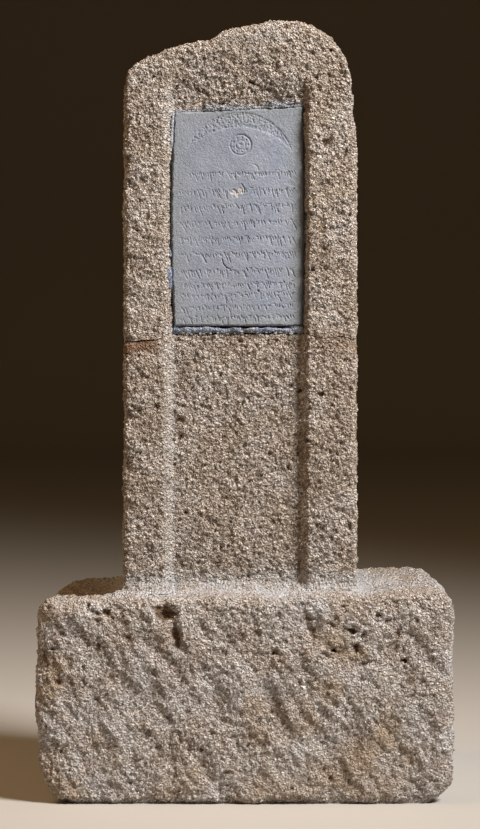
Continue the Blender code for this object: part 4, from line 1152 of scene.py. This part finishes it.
# %% The grain
def make_grain():
    """A node group: round grains from a cell pattern, with clumps and sand from noise, at a given size. A
    second cell pattern of smaller crystals gives each its own tone, and picks out a few as dark flecks."""
    group = bpy.data.node_groups.new("stone_grain", "ShaderNodeTree")
    group.interface.new_socket("Place", in_out="INPUT", socket_type="NodeSocketVector")
    group.interface.new_socket("Grains per metre", in_out="INPUT", socket_type="NodeSocketFloat")
    for name in ("Height", "Tone", "Fleck"):
        group.interface.new_socket(name, in_out="OUTPUT", socket_type="NodeSocketFloat")
    given = group.nodes.new("NodeGroupInput")
    scale = given.outputs["Grains per metre"]
    stir = node(group, "ShaderNodeTexNoise", Vector=given.outputs["Place"], Scale=scale, Detail=1.0)
    push = node(group, "ShaderNodeVectorMath", {"operation": "SCALE"}, i0=stir.outputs["Color"], Scale=0.0030)
    place = given.outputs["Place"]
    moved = node(group, "ShaderNodeVectorMath", {"operation": "ADD"}, i0=place, i1=push.outputs[0])
    stirred = moved.outputs[0]
    cells = node(group, "ShaderNodeTexVoronoi", {"feature": "F1"}, Vector=stirred, Scale=scale)
    coarse = times(group, scale, 0.55)
    clumps = node(group, "ShaderNodeTexNoise", Vector=stirred, Scale=coarse, Detail=3.0, Roughness=0.65)
    fine = times(group, scale, 1.35)
    crystals = node(group, "ShaderNodeTexVoronoi", {"feature": "F1"}, Vector=stirred, Scale=fine)
    rounds = calculate(group, "SUBTRACT", 1.0, times(group, cells.outputs["Distance"], 1.2))
    points_up = calculate(group, "SUBTRACT", 1.0, times(group, crystals.outputs["Distance"], 1.2))
    height = calculate(group, "ADD", times(group, rounds, 0.34), clumps.outputs[0])
    height = calculate(group, "ADD", height, times(group, points_up, 0.16))
    split = node(group, "ShaderNodeSeparateColor", Color=crystals.outputs["Color"])
    fleck = between(group, split.outputs[1], 0.90, 0.97)
    given_out = group.nodes.new("NodeGroupOutput")
    for name, value in (("Height", height), ("Tone", split.outputs[0]), ("Fleck", fleck)):
        group.links.new(value, given_out.inputs[name])
    return group


grain_group = make_grain()
given_names = [socket.name for socket in grain_group.interface.items_tree if socket.in_out == "OUTPUT"]
print("grain group gives", given_names)

# %% [markdown]
# A stone's colour comes in layers: a broad drift between two tans, a tone for each grain, brown wherever it
# is low that is partly dirt and partly painted shade, then ochre from the mend, then pale mortar dust on top
# of all, which on the shaft's left field slope is a painted highlight.

# %% The stone and mortar finishes
def stone_finish(name, pale, middle, dirt_and_shade, grains, bump, dirt_and_shade_strength=1.0, ochre=None, dust_and_highlight=None, smear=None):
    """A layered stone colour over a bump, from the grain group and the piece's own masks."""
    material = bpy.data.materials.new(name)
    material.use_nodes = True
    tree = material.node_tree
    shader = tree.nodes["Principled BSDF"]
    shader.inputs["Roughness"].default_value = 0.90
    shader.inputs["Specular IOR Level"].default_value = 0.30
    place = node(tree, "ShaderNodeTexCoord").outputs["Object"]
    grain = tree.nodes.new("ShaderNodeGroup")
    grain.node_tree = grain_group
    tree.links.new(place, grain.inputs["Place"])
    grain.inputs["Grains per metre"].default_value = grains
    pit = mask(tree, "pit")
    drift = node(tree, "ShaderNodeTexNoise", Vector=place, Scale=22.0, Detail=3.0, Roughness=0.6).outputs[0]
    colour = blend(tree, between(tree, drift, 0.35, 0.65), middle, pale)
    tone = between(tree, grain.outputs["Tone"], 0.0, 1.0, 0.56, 1.36)
    colour = blend(tree, 1.0, colour, grey(tree, tone), "MULTIPLY")
    # Painted shade: the lows of the grain and the pits are painted brown, partly as dirt and partly as the
    # shade that the bump doesn't cast.
    low = between(tree, grain.outputs["Height"], 0.80, 0.55)
    deep = between(tree, pit, 0.25, 0.85)
    lowest = calculate(tree, "MAXIMUM", times(tree, low, 0.55), deep)
    dirt_and_shade_cover = calculate(tree, "MULTIPLY", lowest, dirt_and_shade_strength, clamp=True)
    colour = blend(tree, dirt_and_shade_cover, colour, dirt_and_shade)
    colour = blend(tree, times(tree, grain.outputs["Fleck"], 0.45), colour, linear(132, 98, 66))
    if ochre:
        stain = mask(tree, "ochre")
        colour = blend(tree, times(tree, stain, 0.75), colour, blend(tree, dirt_and_shade_cover, ochre, dirt_and_shade))
    # The pale mask is mortar dust, and on the shaft's left field slope a painted highlight.
    if dust_and_highlight:
        powder = mask(tree, "dust_and_highlight")
        bare = calculate(tree, "SUBTRACT", 1.0, times(tree, dirt_and_shade_cover, 0.55))
        covered = times(tree, powder, bare)
        colour = blend(tree, covered, colour, dust_and_highlight)
    if smear:
        wiped = mask(tree, "smear")
        colour = blend(tree, times(tree, wiped, 0.8), colour, smear)
    tree.links.new(colour, shader.inputs["Base Color"])
    relief_node = node(tree, "ShaderNodeBump", Height=grain.outputs["Height"], Distance=bump)
    relief_node.inputs["Strength"].default_value = 1.0
    tree.links.new(relief_node.outputs[0], shader.inputs["Normal"])
    return material


# The third colour of each finish is the brown of dirt and painted shade in the lows.
block_stone = stone_finish(
    "block_limestone", linear(232, 225, 219), linear(213, 200, 190), linear(126, 96, 64), 345.0, 0.0130, 0.9,
    ochre=linear(206, 184, 158), dust_and_highlight=linear(224, 223, 226),
)
shaft_stone = stone_finish(
    "shaft_limestone", linear(224, 213, 203), linear(207, 192, 176), linear(116, 84, 54), 350.0, 0.0140, 0.95,
    ochre=linear(190, 142, 98), dust_and_highlight=linear(222, 219, 216), smear=linear(176, 179, 184),
)
pale_mortar = stone_finish(
    "pale_foot_mortar", linear(212, 204, 196), linear(192, 180, 168), linear(120, 94, 68), 350.0, 0.0100, 0.8,
    dust_and_highlight=linear(208, 207, 208),
)
ochre_mortar = stone_finish(
    "ochre_mend_mortar", linear(219, 207, 194), linear(202, 185, 166), linear(108, 74, 46),
    350.0, 0.0130, 0.9, ochre=linear(138, 94, 58),
)
# Its dark blue-grey in the lows is the painted shade of the crevices and the crack.
grey_mortar = stone_finish(
    "grey_bed_mortar", linear(150, 160, 182), linear(118, 128, 150), linear(50, 54, 72), 420.0, 0.0026, 0.95,
    dust_and_highlight=linear(186, 187, 190),
)

# %% [markdown]
# The slab is another stone: fine, blue-grey, with a little sheen. Its cuts are painted darker as painted
# shade, its margins are greener, and the bruise shows the pale stone inside.

# %% The plaque's finish
slate = bpy.data.materials.new("blue_grey_slate")
slate.use_nodes = True
tree = slate.node_tree
shader = tree.nodes["Principled BSDF"]
shader.inputs["Roughness"].default_value = 0.60
shader.inputs["Specular IOR Level"].default_value = 0.35
place = node(tree, "ShaderNodeTexCoord").outputs["Object"]
cloud = node(tree, "ShaderNodeTexNoise", Vector=place, Scale=34.0, Detail=4.0, Roughness=0.65).outputs[0]
mottle = node(tree, "ShaderNodeTexNoise", Vector=place, Scale=420.0, Detail=3.0, Roughness=0.7).outputs[0]
colour = blend(tree, between(tree, cloud, 0.35, 0.68), linear(138, 144, 158), linear(150, 154, 166))
margin_mask = mask(tree, "margin")
colour = blend(tree, times(tree, margin_mask, 0.7), colour, linear(144, 149, 152))
speck = between(tree, mottle, 0.3, 0.7, 0.84, 1.14)
colour = blend(tree, 1.0, colour, grey(tree, speck), "MULTIPLY")
groove_mask = mask(tree, "groove")
# Painted shade: the cuts are painted darker by their depth.
groove_shade_share = times(tree, between(tree, groove_mask, 0.5, 1.2), 0.18)
colour = blend(tree, groove_shade_share, colour, linear(96, 94, 98))
bruise_mask = mask(tree, "bruise")
colour = blend(tree, times(tree, bruise_mask, 0.8), colour, linear(196, 190, 182))
tree.links.new(colour, shader.inputs["Base Color"])
skin_bump = node(tree, "ShaderNodeBump", Height=mottle, Distance=0.0009)
tree.links.new(skin_bump.outputs[0], shader.inputs["Normal"])

# %% Every piece gets its finish, its body and the solid that it stands for
DRESSING = (
    (block, block_stone, "base_block", "block_stone"),
    (foot_mortar, pale_mortar, "foot_mortar", "pale_mortar"),
    (lower, shaft_stone, "lower_shaft", "shaft_stone"),
    (mend, ochre_mortar, "mend_mortar", "ochre_mortar"),
    (upper, shaft_stone, "upper_shaft", "shaft_stone"),
    (bedding, grey_mortar, "plaque_bedding", "grey_mortar"),
    (plaque, slate, "plaque", "grey_slate"),
)
for piece, finish, solid, slot in DRESSING:
    piece.data.materials.append(finish)
    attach(piece, "root")
    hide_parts(solid)
    low, high = (np.array(corner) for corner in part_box(solid))
    corners = np.array([corner[:] for corner in piece.bound_box])
    under, over = (low - corners.min(axis=0)).max(), (corners.max(axis=0) - high).max()
    print(f"{piece.name}: beyond its solid by {under * 1000:.1f} and {over * 1000:.1f} mm")

# %% [markdown]
# ## Floor and light
# The photograph is lit like most reliefs in a museum: one soft lamp high at the right, so nearly along
# the face that every grain throws a shadow. A weaker warm lamp high at the left keeps the left ledge
# from going black, and a little warm air light fills the rest. The floor is pale and plain. A curve takes
# it up nine metres away, so the part can be looked at from every side.

# %% Floor
runs = np.linspace(0, 1, 49)
bend = np.clip((runs - 0.5) / 0.3, 0, 1) * math.pi / 2
sweep_y = np.where(runs < 0.5, -9.0 + 36.0 * runs, 9.0 + 1.2 * np.sin(bend))
sweep_z = np.where(runs < 0.5, 0.0, 1.2 * (1 - np.cos(bend))) + np.clip((runs - 0.8) / 0.2, 0, 1) * 2.6
sweep_x = np.linspace(-9.0, 9.0, 3)
sweep = np.stack(np.broadcast_arrays(sweep_x[None, :], sweep_y[:, None], sweep_z[:, None]), axis=-1)
number = np.arange(sweep.shape[0] * 3).reshape(-1, 3)
backdrop = make_piece("floor_sweep", sweep.reshape(-1, 3), [grid_quads(number)], {})
paper = bpy.data.materials.new("pale_floor")
paper.use_nodes = True
paper.node_tree.nodes["Principled BSDF"].inputs["Base Color"].default_value = (0.50, 0.465, 0.42, 1.0)
paper.node_tree.nodes["Principled BSDF"].inputs["Roughness"].default_value = 0.95
backdrop.data.materials.append(paper)

# %% Light
def soft_lamp(name, place, target, size, power, colour):
    """A square soft lamp at a place, turned to face a target."""
    lamp = bpy.data.lights.new(name, "AREA")
    lamp.shape = "SQUARE"
    lamp.size = size
    lamp.energy = power
    lamp.color = colour
    holder = bpy.data.objects.new(name, lamp)
    holder.location = place
    aim = np.array(target) - np.array(place)
    flat = math.hypot(aim[0], aim[1])
    tilt, turn = math.atan2(aim[2], flat), math.atan2(aim[1], aim[0])
    holder.rotation_euler = (math.pi / 2 + tilt, 0, turn - math.pi / 2)
    bpy.context.collection.objects.link(holder)
    return holder


key = soft_lamp("key_lamp", (1.95, -1.42, 2.75), (0.0, -0.1, 0.66), 0.92, 33.0, (1.0, 0.98, 0.96))
key.data.spread = math.radians(70)
soft_lamp("warm_lamp", (-1.70, -0.45, 3.00), (0.0, 0.0, 0.30), 1.5, 33.0, (1.0, 0.66, 0.36))
world = bpy.data.worlds.new("studio_air")
bpy.context.scene.world = world
world.use_nodes = True
world.node_tree.nodes["Background"].inputs["Color"].default_value = (1.0, 0.66, 0.34, 1.0)
world.node_tree.nodes["Background"].inputs["Strength"].default_value = 0.038
bpy.context.scene.view_settings.view_transform = "Standard"
